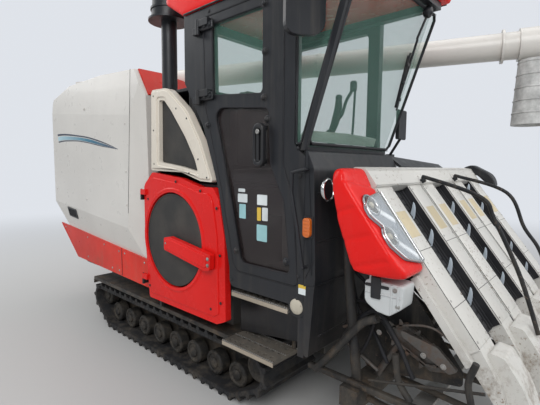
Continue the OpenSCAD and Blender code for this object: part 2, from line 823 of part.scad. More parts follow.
// Threshing body, open to the deck below
thresh_rows = [[thresh_rear_x, floor_top_z + seat_gap, 0], [thresh_front_x, floor_top_z + seat_gap, 0],
    [thresh_front_x, 1500, 60], [thresh_front_x - 130, thresh_top_z, 80], [thresh_rear_x, thresh_top_z, 80]];
module thresh_body() {
    color(cream)
        difference() {
            across(thresh_right_y, thresh_left_y)
                polygon(rounded(thresh_rows));
            block(thresh_rear_x + thresh_t, thresh_front_x - thresh_t, thresh_right_y + thresh_t,
                thresh_left_y - thresh_t, floor_top_z - 1, thresh_top_z - 250);
        }
    color(charcoal)
        for (x = cover_knuckle_xs)
            translate([x, cover_pin_y, cover_hinge_z + 12])
                rotate([0, 90, 0])
                    fixed_knuckle()
                        block(-8, 8, thresh_left_y - cover_pin_y - 1, 0, 0, knuckle_h);
}

// Feed chain along the left side with its rail
chain_y0 = thresh_left_y + 62;
chain_y1 = 1060;
module feed_chain() {
    color(black)
        across(chain_y0, chain_y1)
            polygon(rounded([[-1950, chain_z - 90, 60], [300, chain_z - 160, 60], [340, chain_z - 40, 60],
                [200, chain_z + 30, 60], [-1950, chain_z + 30, 60]]));
    color(charcoal)
        for (x = [-1800, -900, 0])
            block(x - 25, x + 25, thresh_left_y + seat_gap, chain_y0, chain_z - 100, chain_z - 50);
}

// Side cover over the threshing drum, hinged along its top
cover_hinge_z = 1660;
cover_pin_y = thresh_left_y + 32;
cover_knuckle_xs = [-1800, -950, -100];
module side_cover() {
    color(red)
        for (x = cover_knuckle_xs)
            translate([x, cover_pin_y, cover_hinge_z + 12])
                rotate([0, 90, 0])
                    moving_knuckle()
                        block(4, 24, -8, 8, 0, knuckle_h);
    color(red)
        across(thresh_left_y + 12, thresh_left_y + 52)
            polygon(rounded([[-1900, chain_z + 45, 30], [60, chain_z + 45, 30], [60, 1600, 60],
                [0, cover_hinge_z, 20], [-1900, cover_hinge_z, 20]]));
}

// Straw cutter across the threshing body's rear end
cutter_ys = [thresh_right_y + 80, thresh_left_y + 160];
module straw_cutter() {
    color(red)
        across(cutter_ys[0], cutter_ys[1])
            polygon(rounded([[-overall_l / 2, 620, 40], [thresh_rear_x - seat_gap, 560, 0],
                [thresh_rear_x - seat_gap, 1420, 0], [-overall_l / 2 + 120, 1380, 120],
                [-overall_l / 2, 1100, 60]]));
}

module auger_post() {
    color(cream)
        translate([post_x, post_y, floor_top_z])
            cylinder(r = post_r, h = head_z0 - floor_top_z);
    color(charcoal)
        block(post_x - post_r - 12, deck_rear_x - seat_gap, post_y - 100, post_y + 100,
            deck_z, floor_top_z + 1);
}

// Rest that the stowed auger lies on
rest_along = 2400;
rest_x = post_x + rest_along * cos(auger_yaw);
rest_y = post_y + rest_along * sin(auger_yaw);
module auger_rest() {
    color(charcoal) {
        translate([rest_x, rest_y, thresh_top_z + seat_gap])
            cylinder(r = 28, h = auger_z - auger_r - thresh_top_z - 20);
        block(rest_x - 60, rest_x + 60, rest_y - 60, rest_y + 60, thresh_top_z + seat_gap, thresh_top_z + 12);
        block(rest_x - 40, rest_x + 40, rest_y - 90, rest_y + 90,
            auger_z - auger_r - 25, auger_z - auger_r - seat_gap);
    }
}

// Red side cover with the hole for the round screen
engine_cover_rows = [[cover_rear_x + 50, cover_bottom_z - 15, 20], [cover_front_x - 15, cover_bottom_z - 8, 20],
    [cover_front_x + 70, cover_bottom_z + 30, 20], [cover_front_x + 60, 1105, 200],
    [cover_front_x + 10, 1343, 60], [cover_front_x - 45, 1415, 40], [322, 1414, 60], [110, 1465, 100],
    [cover_rear_x + 120, cover_top_z, 40], [cover_rear_x, 1400, 60], [cover_rear_x, 1030, 0]];
cover_gap = 10;
rim_w = 26;
rim_out = 10;
hub_r = 20;
spoke_y = -side_y + cover_t - 10;
module engine_cover() {
    color(red) {
        difference() {
            union() {
                across(-side_y, -side_y + cover_t)
                    polygon(rounded(engine_cover_rows));
                bar_y(screen_x, screen_z, screen_r + cover_gap + rim_w, -side_y - rim_out, -side_y + 1);
            }
            bar_y(screen_x, screen_z, screen_r + cover_gap, -side_y - 20, -side_y + cover_t + 1);
        }
        block(screen_x - screen_r - cover_gap - 2, screen_x + screen_r + cover_gap + 2, spoke_y, spoke_y + 10,
            screen_z - 20, screen_z + 20);
        bar_y(screen_x, screen_z, hub_r, -side_y - 4, spoke_y + 1);
        for (z = cover_hinge_zs)
            translate([cover_hinge_x, cover_hinge_y, z])
                moving_knuckle()
                    block(0, 60, -8, 15, 0, knuckle_h);
    }
}

// Bar over the screen from its middle to the cover's front edge
module screen_arm() {
    color(red) {
        across(-side_y - 50, -side_y - rim_out - 4)
            polygon(rounded([[screen_x - 40, 963, 15], [screen_x - 40, 1048, 15], [screen_x + 25, 1062, 10],
                [cover_front_x - 17, 1003, 10], [cover_front_x - 23, 905, 15], [cover_front_x - 75, 893, 20]]));
        block(cover_front_x - 85, cover_front_x - 35, -side_y - rim_out - 5, -side_y - seat_gap, 920, 980);
    }
}

screen_t = 26;
module round_screen() {
    color(black)
        difference() {
            bar_y(screen_x, screen_z, screen_r, -side_y, -side_y + screen_t);
            bar_y(screen_x, screen_z, hub_r + pin_gap, -side_y - 1, -side_y + screen_t + 1);
        }
}

// Cab door, one frame with two panes
upper_pane_rows = [[440, 2395, 30], [870, 2395, 30], [870, 1935, 30], [450, 1972, 30]];
lower_pane_rows = [[455, 1905, 60], [915, 1862, 40], [930, 1560, 60], [1025, 1375, 60], [1075, 985, 30],
    [695, 985, 50], [595, 1400, 200]];
handle_x = 873;
handle_zs = [1575, 1755];
module door_frame() {
    color(charcoal) {
        across(-side_y, -side_y + frame_t)
            difference() {
                polygon(rounded(door_rows));
                polygon(rounded(upper_pane_rows));
                polygon(rounded(lower_pane_rows));
            }
        for (z = door_hinge_zs)
            translate([door_hinge_x, door_hinge_y, z])
                moving_knuckle() {
                    block(0, 100, -8, 12, 0, knuckle_h);
                    block(52, 100, 11, 26, 0, knuckle_h);
                }
        bar([handle_x, -side_y - 38, handle_zs[0]], [handle_x, -side_y - 38, handle_zs[1]], 11);
        for (z = handle_zs)
            bar_y(handle_x, z, 14, -side_y - 44, -side_y + 20 - seat_gap);
    }
}
module door_panes() {
    color(pane)
        across(-side_y + 20, -side_y + 20 + pane_t)
            offset(delta = -seat_gap) {
                polygon(rounded(upper_pane_rows));
                polygon(rounded(lower_pane_rows));
            }
}

// Grain tank, a folded sheet shell round an empty space
tank_ridge_y = -880;
tank_ridge_z = 2330;
tank_eave_z = 2190;
slope_foot = [tank_front_x, 2080];
slope_head = [-535, 2292];
tank_rows = [[tank_rear_x, 1165], [tank_rear_x + 180, 950], [tank_rear_x + 570, 640], [tank_front_x, 614],
    slope_foot, slope_head, [-1110, tank_top_z], [tank_rear_x + 413, 2318], [tank_rear_x + 20, 2222],
    [tank_rear_x, 2180]];
hatch_xs = [-1600, -1000];
lid_xs = [hatch_xs[0] - 100, hatch_xs[1] + 100];
// Cuts through three points each, their outward side by the order
upper_fold = [[-568, -side_y, 1940], [-1200, -side_y + 30, 2320], [tank_rear_x + 30, -side_y, 2079]];
lower_fold = [[-597, -side_y, 1036], [tank_rear_x + 97, -side_y, 1160], [-1200, -side_y + skirt_in, 880]];
front_facet = [[slope_head.x, -side_y, 2289], [-618, -side_y, 1164],
    [tank_front_x, -side_y + skirt_in + 5, 1500]];
roof_fall = [[0, tank_ridge_y, tank_ridge_z], [1000, tank_ridge_y, tank_ridge_z],
    [0, tank_left_y, tank_eave_z]];
module past(face, inset = 0) {
    n = cross(face[1] - face[0], face[2] - face[0]);
    beyond(face[0] - inset * n / norm(n), n);
}
module tank_form(inset) {
    difference() {
        across(-side_y + inset, tank_left_y - inset)
            offset(delta = -inset)
                polygon(tank_rows);
        past(upper_fold, inset);
        past(front_facet, inset);
        past(roof_fall, inset);
        intersection() {
            past(lower_fold, inset);
            block(tank_rear_x - 1, tank_front_x + 1, -side_y - 1, -side_y + skirt_in + inset, 0, tank_top_z);
        }
    }
}
module tank_shell() {
    color(cream)
        difference() {
            tank_form(0);
            tank_form(tank_t);
            block(hatch_xs[0], hatch_xs[1], -side_y + 300, tank_left_y - 150, 2100, tank_top_z);
        }
    color(charcoal)
        for (z = [1220, 1900])
            difference() {
                union() {
                    translate([post_x, post_y, z])
                        cylinder(r = post_r + 30, h = 60);
                    block(post_x, tank_rear_x + 1, post_y - post_r, post_y + post_r, z, z + 60);
                }
                translate([post_x, post_y, z - 1])
                    cylinder(r = post_r + fit_gap, h = 62);
            }
}

// Red skirt along the tank's foot
skirt_t = 12;
skirt_rows = [[tank_rear_x + 40, 932], [tank_rear_x + 450, 620], [tank_front_x, 590], [tank_front_x, 812]];
module tank_skirt() {
    color(red)
        across(-side_y + skirt_in - seat_gap - skirt_t, -side_y + skirt_in - seat_gap)
            polygon(skirt_rows);
}

// Red lid on the falling roof and red panel on the front slope
lid_t = 25;
slope_panel_t = 12;
module tank_top() {
    fall = atan((tank_ridge_z - tank_eave_z) / (tank_left_y - tank_ridge_y));
    n = unit([slope_head.y - slope_foot.y, slope_foot.x - slope_head.x]);
    color(red) {
        translate([0, tank_ridge_y, tank_ridge_z])
            rotate([-fall, 0, 0])
                block(lid_xs[0], lid_xs[1], 160, 760, seat_gap, lid_t);
        difference() {
            across(tank_ridge_y - 10, tank_left_y - 10)
                polygon([slope_head + seat_gap * n, slope_foot + seat_gap * n,
                    slope_foot + slope_panel_t * n, slope_head + slope_panel_t * n]);
            past(roof_fall);
            past(front_facet, -1);
        }
    }
}

// Turning head of the auger on the post
head_z0 = auger_z - 340;
module auger_head() {
    color(cream)
        translate([post_x, post_y, 0]) {
            translate([0, 0, head_z0 + fit_gap])
                cylinder(r = post_r + 25, h = 200);
            rotate(auger_yaw)
                difference() {
                    for (y = [-auger_r - 38, auger_r + 8])
                        block(-60, 60, y, y + 30, head_z0 + 150, auger_z + 60);
                    bar_y(0, auger_z, 30 + fit_gap, -auger_r - 50, auger_r + 50);
                }
        }
    color(cream)
        at_auger()
            bar_y(auger_ram_a.x, auger_ram_a.z, ram_pin_r, post_r + 10, auger_ram_y + 20);
}

// The tube with its rear elbow and its end collar
module auger_tube() {
    color(cream)
        translate([post_x, post_y, auger_z])
            rotate(auger_yaw) {
                rotate([0, 90, 0])
                    cylinder(r = auger_r, h = auger_l);
                sphere(r = auger_r);
                bar_y(0, 0, 30, -auger_r - 38, auger_r + 38);
                bar_y(auger_ram_b.x, auger_ram_b.z, ram_pin_r, 0, auger_ram_y + 20);
                translate([auger_l - 120, 0, 0])
                    rotate([0, 90, 0])
                        cylinder(r = auger_r + 18, h = 220);
            }
}

module auger_spout() {
    color("#b9b9b6")
        translate([post_x, post_y, auger_z])
            rotate(auger_yaw)
                translate([auger_l - 10, 0, -auger_r - 18 - seat_gap - spout_l])
                    difference() {
                        cylinder(r1 = 130, r2 = 105, h = spout_l);
                        translate([0, 0, -1])
                            cylinder(r1 = 120, r2 = 95, h = spout_l - 20);
                    }
}

// Ram beside the post that lifts the auger, as [along, across, up] from the lift pivot
auger_ram_y = auger_r + 75;
auger_ram_a = [0, auger_ram_y, -130];
auger_ram_b = [220, auger_ram_y, -30];
ram_pin_r = 12;
eye_r = 26;
module at_auger() {
    translate([post_x, post_y, auger_z])
        rotate(auger_yaw)
            children();
}
module ram_eye(at, thick, pin_r) {
    difference() {
        bar_y(at.x, at.z, eye_r, at.y - thick / 2, at.y + thick / 2);
        bar_y(at.x, at.z, pin_r, at.y - thick, at.y + thick);
    }
}
module auger_ram_barrel() {
    color(charcoal)
        at_auger()
            ram_barrel(auger_ram_a, auger_ram_b, 30, 24, 12 + fit_gap);
}
module auger_ram_rod() {
    color(steel)
        at_auger()
            ram_rod(auger_ram_a, auger_ram_b, 26, 12, 0.25);
}

// Ram that lifts the header, from [x, y, z] on the deck to [x, y, z] under the arm
ram_y = 330;
ram_a = [430, ram_y, 600];
ram_b = [1120, ram_y, 470];
eye_play = 5;
lug_off = 46;
lug_half = 9;
barrel_r = 32;
rod_r = 18;
// A barrel with its bore, and a rod that runs in it, by shares of the ram's length
module ram_barrel(a, b, eye_t, r, bore_r) {
    d = b - a;
    ram_eye(a, eye_t, ram_pin_r + fit_gap);
    difference() {
        bar(a + (ram_pin_r + 4) * d / norm(d), a + 0.62 * d, r);
        bar(a + 0.2 * d, a + 0.63 * d, bore_r);
    }
}
module ram_rod(a, b, eye_t, r, start) {
    d = b - a;
    ram_eye(b, eye_t, ram_pin_r + eye_play);
    bar(a + start * d, b - (ram_pin_r + eye_play + 2) * d / norm(d), r);
}
module lift_ram_barrel() {
    color(charcoal)
        ram_barrel(ram_a, ram_b, 2 * (lug_off - lug_half) - 4, barrel_r, rod_r + fit_gap);
}
module lift_ram_rod() {
    color(steel)
        ram_rod(ram_a, ram_b, 40, rod_r, 0.4);
}

// The arm that the header hangs on, with lugs up to the feed housing's underside
function housing_foot(x) = [x, 1120 - (x - 480) * 100 / 220 - seat_gap];
module header_arm() {
    color(charcoal) {
        bar_y(lift_x, lift_z, arm_r, 60, 760);
        difference() {
            bar([lift_x, ram_y, lift_z], [beam_x, ram_y, beam_z], arm_r);
            beam_clear();
        }
        bar_y(lift_x, lift_z, pivot_r, pivot_ys[0][0] - 2, pivot_ys[1][1] + 2);
        for (y = [500, 640])
            across(y, y + 20)
                polygon([[600, lift_z], [680, lift_z], housing_foot(680), housing_foot(600)]);
        for (side = [-1, 1])
            across(ram_y + side * 32 - 9, ram_y + side * 32 + 9)
                polygon([[1085, 450], [1150, 440], [1210, 540], [1060, 640]]);
        bar_y(ram_b.x, ram_b.z, ram_pin_r, ram_y - 41, ram_y + 41);
    }
}

cases_half = lane_pitch + lane_w / 2 + case_w;
header_right_y = header_y - cases_half;
header_left_y = header_y + cases_half;
module beam_block() {
    block(beam_x - beam_r, beam_x + beam_r, header_right_y - 150, header_left_y + 150,
        beam_z - beam_r, beam_z + beam_r);
}
module header_beam() {
    color(charcoal)
        beam_block();
}
module beam_clear() {
    translate([beam_x, header_y, beam_z])
        cube([2 * (beam_r + seat_gap), 2 * (cases_half + 150 + seat_gap), 2 * (beam_r + seat_gap)],
            center = true);
}

// A place on the cases' slope: down it from their top edge, and out from their face
function at_case(s, n) = [case_top_x + s * cos(case_slope) + n * sin(case_slope),
    case_top_z - s * sin(case_slope) + n * cos(case_slope)];
function on_side(row, y) = [row.x, y, row.y];

// Pipes of the header: a rail behind the top bar on two uprights, the right frame, the guard at
// the left and two guide rods over the lanes
rail_r = 25;
rail_s = -78;
rail_n = -121;
rail = at_case(rail_s, rail_n);
pipe_r = 16;
brace_y = -850;
brace_rows = [[1170, 470], [1260, 577], [1350, 690], [1440, 800], [1520, 845]];
channel_rows = [[1130, 484], [1945, 484]];
prop_rows = [[1926, 484], [1937, 580], [1920, 680], [1945, 775]];
stay_rows = [[1600, 690], [1620, 570], [1680, 490]];
cross_rows = [[1476, 523], [1980, 657]];
guide_rows = [
    // x, z of the rod at the right and of that at the left
    [at_case(-12, 28), [1757, 1393], [1831, 1275], [1960, 1002], at_case(965, 59)],
    [at_case(-12, 28), [1765, 1392], [1873, 1178], [1971, 1022], at_case(965, 59)],
];
guide_ys = [-177, 397];
guide_r = 11;
guard_y = overall_w / 2 - pipe_r;
guard_x = 2100;
module pipe_run(rows, y, r, fn = 16) {
    for (i = [1:len(rows) - 1])
        bar(on_side(rows[i - 1], y), on_side(rows[i], y), r, fn);
    for (i = [1:len(rows) - 2])
        translate(on_side(rows[i], y))
            rotate([50, 0, 30])
                sphere(r = r + 0.8, $fn = fn);
}
module header_pipes() {
    color(charcoal) {
        difference() {
            union() {
                bar_y(rail.x, rail.y, rail_r, header_right_y - 90, header_left_y + 90);
                for (y = [header_right_y - 60, header_left_y + 60])
                    bar([beam_x, y, beam_z], [rail.x, y, rail.y], rail_r);
                block(channel_rows[0].x, channel_rows[1].x, brace_y - pipe_r, brace_y + pipe_r,
                    beam_z + beam_r, beam_z + beam_r + 28);
                pipe_run(brace_rows, brace_y, pipe_r + 4, 20);
                pipe_run(prop_rows, brace_y, pipe_r - 2);
                pipe_run(stay_rows, brace_y + 24, pipe_r);
                pipe_run(cross_rows, brace_y + 12, 7, 10);
                bar([beam_x, guard_y, beam_z], [guard_x, guard_y, beam_z], pipe_r);
                bar_y(beam_x, beam_z, pipe_r, header_left_y + 140, guard_y + pipe_r);
            }
            beam_clear();
        }
        for (i = [0, 1]) {
            pipe_run(guide_rows[i], guide_ys[i], guide_r, 14);
            on_cases()
                translate([-12, guide_ys[i], 14 + seat_gap])
                    cylinder(r = guide_r + 4, h = 24);
        }
    }
}
module feed_housing() {
    color(charcoal)
        across(400, 755)
            polygon([[700, 1020], [1250, 560], [1340, 620], [900, 1330], [520, 1330], [480, 1120]]);
}

// Things laid along the sloping cases, from their top edge down
module on_cases() {
    translate([case_top_x, 0, case_top_z])
        rotate([0, case_slope, 0])
            children();
}
lane_ys = [for (i = [-1:1]) header_y + i * lane_pitch];
case_ys = [for (y = lane_ys, side = [-1, 1]) y + side * (lane_w + case_w) / 2];
nose_rows = [[case_l - 1, -case_t, 0], [case_l - 1, 0, 0], [case_l + 150, -12, 60], [case_l + 250, -50, 16],
    [case_l + 215, -case_t, 20]];
cover_rows = [[case_l + 40, -20, 0], [case_l + 30, 10, 15], [case_l + 70, 50, 30], [case_l + 190, 46, 60],
    [case_l + 350, 10, 60], [case_l + 395, -50, 20], [case_l + 330, -70, 10], [case_l + 200, -60, 0]];
cover_spans = [
    // from y, to y
    [case_ys[0] - 40, case_ys[0] + 120],
    [case_ys[1] - 20, case_ys[2] + 20],
    [case_ys[3] - 20, case_ys[4] + 20],
    [case_ys[5] - 80, case_ys[5] + 80],
];
side_plate_s = [450, 870];
module raising_cases() {
    color(cream)
        on_cases() {
            for (y = case_ys) {
                block(0, case_l, y - case_w / 2, y + case_w / 2, -case_t, 0);
                across(y - case_w / 2 + 8, y + case_w / 2 - 8)
                    polygon(rounded(nose_rows));
            }
            block(side_plate_s[0], side_plate_s[1], header_right_y - 34, header_right_y + 1, -case_t, -45);
            for (row = cover_spans)
                across(row[0], row[1])
                    polygon(rounded(cover_rows));
        }
}

// Lanes between the cases with the tines that stand out of them
tine_starts = [134, 170, 48];
tine_pitch = 168;
tine_w = 46;
tine_t = 16;
module tine_lanes() {
    on_cases()
        for (i = [0:len(lane_ys) - 1]) {
            y = lane_ys[i];
            color(black)
                block(seat_gap, case_l, y - lane_w / 2 + seat_gap, y + lane_w / 2 - seat_gap,
                    -case_t, -case_t + 32);
            color("#a9bac6")
                for (s = [tine_starts[i]:tine_pitch:case_l - 40])
                    block(s, s + tine_w, y + 20, y + 20 + tine_t, -case_t + 31, 14);
        }
}

bar_over = 30;
top_bar_rows = [[-seat_gap, 14, 5], [-105, 14, 12], [-150, -30, 20], [-150, -70, 20],
    [-118, rail_n + rail_r + seat_gap, 0], [-30, rail_n + rail_r + seat_gap, 0], [-seat_gap, -82, 0]];
module top_bar() {
    color(cream)
        on_cases()
            across(header_right_y, header_left_y + bar_over)
                polygon(rounded(top_bar_rows));
}

// Red housing at the right end of the top bar, with two lamps behind one pane on its face
housing_w = 242;
housing_in_y = header_right_y - seat_gap;
housing_rows = [
    // x, z, corner radius
    [1322, 1500, 60],
    [1365, 1305, 0],
    [1450, 1080, 20],
    [at_case(475, 0).x, at_case(475, 0).y, 25],
    [at_case(-30, 0).x, at_case(-30, 0).y, 30],
    [at_case(-105, 14).x, at_case(-105, 14).y, 12],
    [at_case(-150, -30).x, at_case(-150, -30).y, 20],
];
housing_plan = [
    // down the slope, across, corner radius
    [-160, housing_in_y, 0], [490, housing_in_y, 0], [490, housing_in_y - housing_w, 150],
    [-160, housing_in_y - housing_w, 110]];
module lamp_housing() {
    color(red)
        intersection() {
            across(housing_in_y - housing_w, housing_in_y)
                polygon(rounded(housing_rows));
            on_cases()
                translate([0, 0, -400])
                    linear_extrude(700)
                        polygon(rounded(housing_plan));
        }
}
lamp_rows = [
    // down the slope, across, corner radius
    [30, -752, 0], [36, -790, 20], [55, -905, 50], [95, -968, 40], [150, -972, 40], [207, -925, 10],
    [240, -955, 30], [300, -955, 50], [375, -900, 60], [412, -775, 30], [405, -752, 0]];
bulbs = [
    // down the slope, across, radius
    [95, -889, 42],
    [255, -896, 42],
];
lamp_t = 14;
module head_lamp() {
    color("#dfe6ea")
        on_cases() {
            translate([0, 0, seat_gap])
                linear_extrude(lamp_t)
                    polygon(rounded(lamp_rows));
            for (row = bulbs)
                translate([row[0], row[1], seat_gap])
                    cylinder(r = row[2], h = lamp_t + 8);
        }
}

// Fluid reservoir under the lamp housing
module reservoir() {
    color("#e4e6e4")
        across(header_right_y - 165, header_right_y - 45) {
            polygon(rounded([[1480, 1040, 15], [1478, 935, 40], [1540, 900, 20], [1600, 892, 20],
                [1655, 935, 20], [1665, 1040, 15]]));
            translate([1500, 1038])
                square([26, 38.7]);
        }
}

// Curved black shield at the left end of the top bar
visor_rows = [[-150, -30, 10], [-130, 40, 60], [40, 120, 120], [150, 60, 20], [60, 40, 60], [-40, 20, 20],
    [-60, -30, 0]];
module visor() {
    color(black)
        on_cases()
            across(header_left_y + bar_over + seat_gap, header_left_y + bar_over + 90)
                polygon(rounded(visor_rows));
}

// Stem conveyors behind the cases, each a chain in a thin guide
conveyor_y = -700;
conveyor_pitch = 575;
conveyor_rows = [[1470, 735], [1700, 620], [1790, 640], [1720, 720], [1590, 800]];
plate_rows = [[1580, 780, 10], [1600, 745, 10], [1815, 640, 10], [1850, 665, 10], [1760, 745, 40]];
module conveyors() {
    color(charcoal)
        for (i = [0:2])
            translate([0, conveyor_y + i * conveyor_pitch, 0]) {
                across(0, 20)
                    polygon(rounded([for (row = conveyor_rows) [row.x, row.y, 20]]));
                across(20, 60)
                    polygon(rounded([for (row = conveyor_rows) [row.x + 10, row.y - 30, 20]]));
                difference() {
                    bar([1560, 30, 700], [beam_x + 20, 30, beam_z + 20], pipe_r);
                    beam_clear();
                }
            }
    color(black) {
        across(header_right_y - 5, header_right_y + 15)
            polygon(rounded(plate_rows));
        bar_y(1690, 722, 12, header_right_y + 10, conveyor_y + 10);
    }
}

// Dividers, a pipe to each tip
tip_z = 330;
divider_ys = [for (i = [0:6]) header_right_y - 40 + i * (2 * cases_half + 80) / 6];
module dividers() {
    color(charcoal)
        for (y = divider_ys) {
            difference() {
                bar([beam_x, y, beam_z - 20], [overall_l / 2 - 180, y, tip_z + 10], 16);
                beam_clear();
            }
            translate([overall_l / 2 - 180, y, tip_z + 10])
                rotate([0, 90, 0])
                    cylinder(r1 = 45, r2 = 8, h = 180);
        }
}

module knife_bar() {
    color(steel)
        block(1600, 1690, header_right_y, header_left_y, beam_z - 77, beam_z - 57);
}

track_right();
track_left();
rollers();
track_beams();
chassis_frame();
deck();
transmission();
engine();
engine_room();
grille_panel();
intake_pipe();
cab_frame();
cab_floor();
cab_roof();
cab_panes();
cowl();
indicator();
feed_hood();
seat();
console();
steps();
side_valance();
wiper();
mirrors();
thresh_body();
feed_chain();
straw_cutter();
auger_rest();
auger_post();
side_cover();
engine_cover();
screen_arm();
round_screen();
door_frame();
door_panes();
tank_shell();
tank_skirt();
tank_top();
auger_head();
auger_tube();
auger_spout();
auger_ram_barrel();
auger_ram_rod();
lift_ram_barrel();
lift_ram_rod();
header_arm();
header_beam();
header_pipes();
feed_housing();
raising_cases();
tine_lanes();
top_bar();
lamp_housing();
head_lamp();
reservoir();
visor();
conveyors();
dividers();
knife_bar();
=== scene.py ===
import json
import math

import bmesh
import bpy
from mathutils import Matrix, Vector


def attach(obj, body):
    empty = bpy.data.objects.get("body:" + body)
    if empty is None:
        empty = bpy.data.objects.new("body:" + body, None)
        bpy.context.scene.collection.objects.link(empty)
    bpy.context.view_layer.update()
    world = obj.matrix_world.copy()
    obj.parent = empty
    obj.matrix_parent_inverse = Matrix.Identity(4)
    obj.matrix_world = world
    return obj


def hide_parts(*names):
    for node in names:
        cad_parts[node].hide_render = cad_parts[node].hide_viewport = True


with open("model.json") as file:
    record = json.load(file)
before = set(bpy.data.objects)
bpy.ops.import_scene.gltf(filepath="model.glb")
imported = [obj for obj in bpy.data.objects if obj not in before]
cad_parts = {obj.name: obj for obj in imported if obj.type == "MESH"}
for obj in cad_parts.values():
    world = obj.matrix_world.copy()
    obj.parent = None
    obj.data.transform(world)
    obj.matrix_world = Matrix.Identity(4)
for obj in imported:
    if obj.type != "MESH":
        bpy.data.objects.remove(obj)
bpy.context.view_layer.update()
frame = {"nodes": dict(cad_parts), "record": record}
nodes = frame["nodes"]
scene = bpy.context.scene
scene.view_settings.view_transform = "Standard"

# Camera at the photograph's place, and the studio, in metres and degrees
CAM_POS = (2.341, -2.503, 1.548)
CAM_YAW, CAM_PITCH, CAM_ROLL = 132.40, 5.24, 0.459
CAM_LENS, CAM_SENSOR, CAM_CLIP = 26.13, 36, (0.05, 200)
BACKDROP = (0.74, 0.77, 0.82)
SKY_LIGHT, SKY_POWER = (0.80, 0.84, 0.88), 0.60
FLOOR_TONE, FLOOR_HALF = (0.50, 0.495, 0.485), 60
FADE_NEAR, FADE_FAR = 2.6, 12.0
# Name, place, target, diameter and power of each lamp
AREA_LIGHTS = [
    ("key", (4.5, -6.5, 6.5), (0, 0, 1), 5.0, 430),
    ("fill", (6.0, 3.0, 5.0), (0.5, 0, 1), 6.0, 190),
    ("back", (-6.0, -2.0, 6.0), (-0.5, 0, 1), 6.0, 200),
    ("top", (0.0, 1.0, 8.0), (0, 0, 1), 6.0, 120),
]


def linked(name, data):
    """A new object in the scene."""
    o = bpy.data.objects.new(name, data)
    scene.collection.objects.link(o)
    return o


def make_camera():
    yaw, pitch, roll = (math.radians(a) for a in (CAM_YAW, CAM_PITCH, CAM_ROLL))
    fwd = Vector((math.cos(yaw) * math.cos(pitch), math.sin(yaw) * math.cos(pitch), -math.sin(pitch)))
    level = Vector((math.sin(yaw), -math.cos(yaw), 0))
    above = level.cross(fwd)
    right = level * math.cos(roll) + above * math.sin(roll)
    up = above * math.cos(roll) - level * math.sin(roll)
    data = bpy.data.cameras.new("camera")
    data.sensor_width, data.lens = CAM_SENSOR, CAM_LENS
    data.clip_start, data.clip_end = CAM_CLIP
    cam = linked("camera", data)
    cam.matrix_world = Matrix([*zip(right, up, -fwd, CAM_POS), (0, 0, 0, 1)])
    scene.camera = cam


class Net:
    """Adds shader nodes to a new material and joins them."""

    def __init__(self, name):
        self.mat = bpy.data.materials.new(name)
        self.mat.use_nodes = True
        self.tree = self.mat.node_tree
        self.bsdf = self.tree.nodes["Principled BSDF"]
        self.coord = self.add("ShaderNodeTexCoord", {}).outputs["Object"]

    def give(self, values, node=None):
        """Fills inputs of a node, or of the shader, from sockets, numbers and colours."""
        for key, value in values.items():
            socket = (node or self.bsdf).inputs[key]
            if isinstance(value, bpy.types.NodeSocket):
                self.tree.links.new(value, socket)
            else:
                socket.default_value = (*value, 1) if socket.type == "RGBA" else value

    def add(self, kind, inputs, **settings):
        n = self.tree.nodes.new(kind)
        for key, value in settings.items():
            setattr(n, key, value)
        self.give(inputs, n)
        return n

    def noise(self, scale, detail=4, rough=0.55, stretch=None):
        source = self.coord
        if stretch:
            source = self.add("ShaderNodeMapping", {"Scale": stretch, "Vector": source}).outputs[0]
        return self.add("ShaderNodeTexNoise", {"Scale": scale, "Detail": detail, "Roughness": rough,
                                               "Vector": source}).outputs["Fac"]

    def remap(self, value, a, b, c=0.0, d=1.0, **settings):
        return self.add("ShaderNodeMapRange", {"From Min": a, "From Max": b, "To Min": c, "To Max": d,
                                               "Value": value}, **settings).outputs["Result"]

    def math(self, op, a, b):
        return self.add("ShaderNodeMath", {0: a, 1: b}, operation=op).outputs[0]

    def times(self, a, b):
        return self.math("MULTIPLY", a, b)

    def mix(self, fac, a, b):
        return self.add("ShaderNodeMix", {0: fac, 6: a, 7: b}, data_type="RGBA").outputs[2]

    def part(self, k):
        """One coordinate of the object's own space."""
        return self.add("ShaderNodeSeparateXYZ", {0: self.coord}).outputs[k]

    def bumps(self, *layers, bevel=0.0):
        """Each layer is (height socket, strength, distance in metres)."""
        normal = None
        if bevel:
            normal = self.add("ShaderNodeBevel", {"Radius": bevel}, samples=4).outputs[0]
        for value, strength, distance in layers:
            inputs = {"Strength": strength, "Distance": distance, "Height": value}
            if normal is not None:
                inputs["Normal"] = normal
            normal = self.add("ShaderNodeBump", inputs).outputs[0]
        self.give({"Normal": normal})


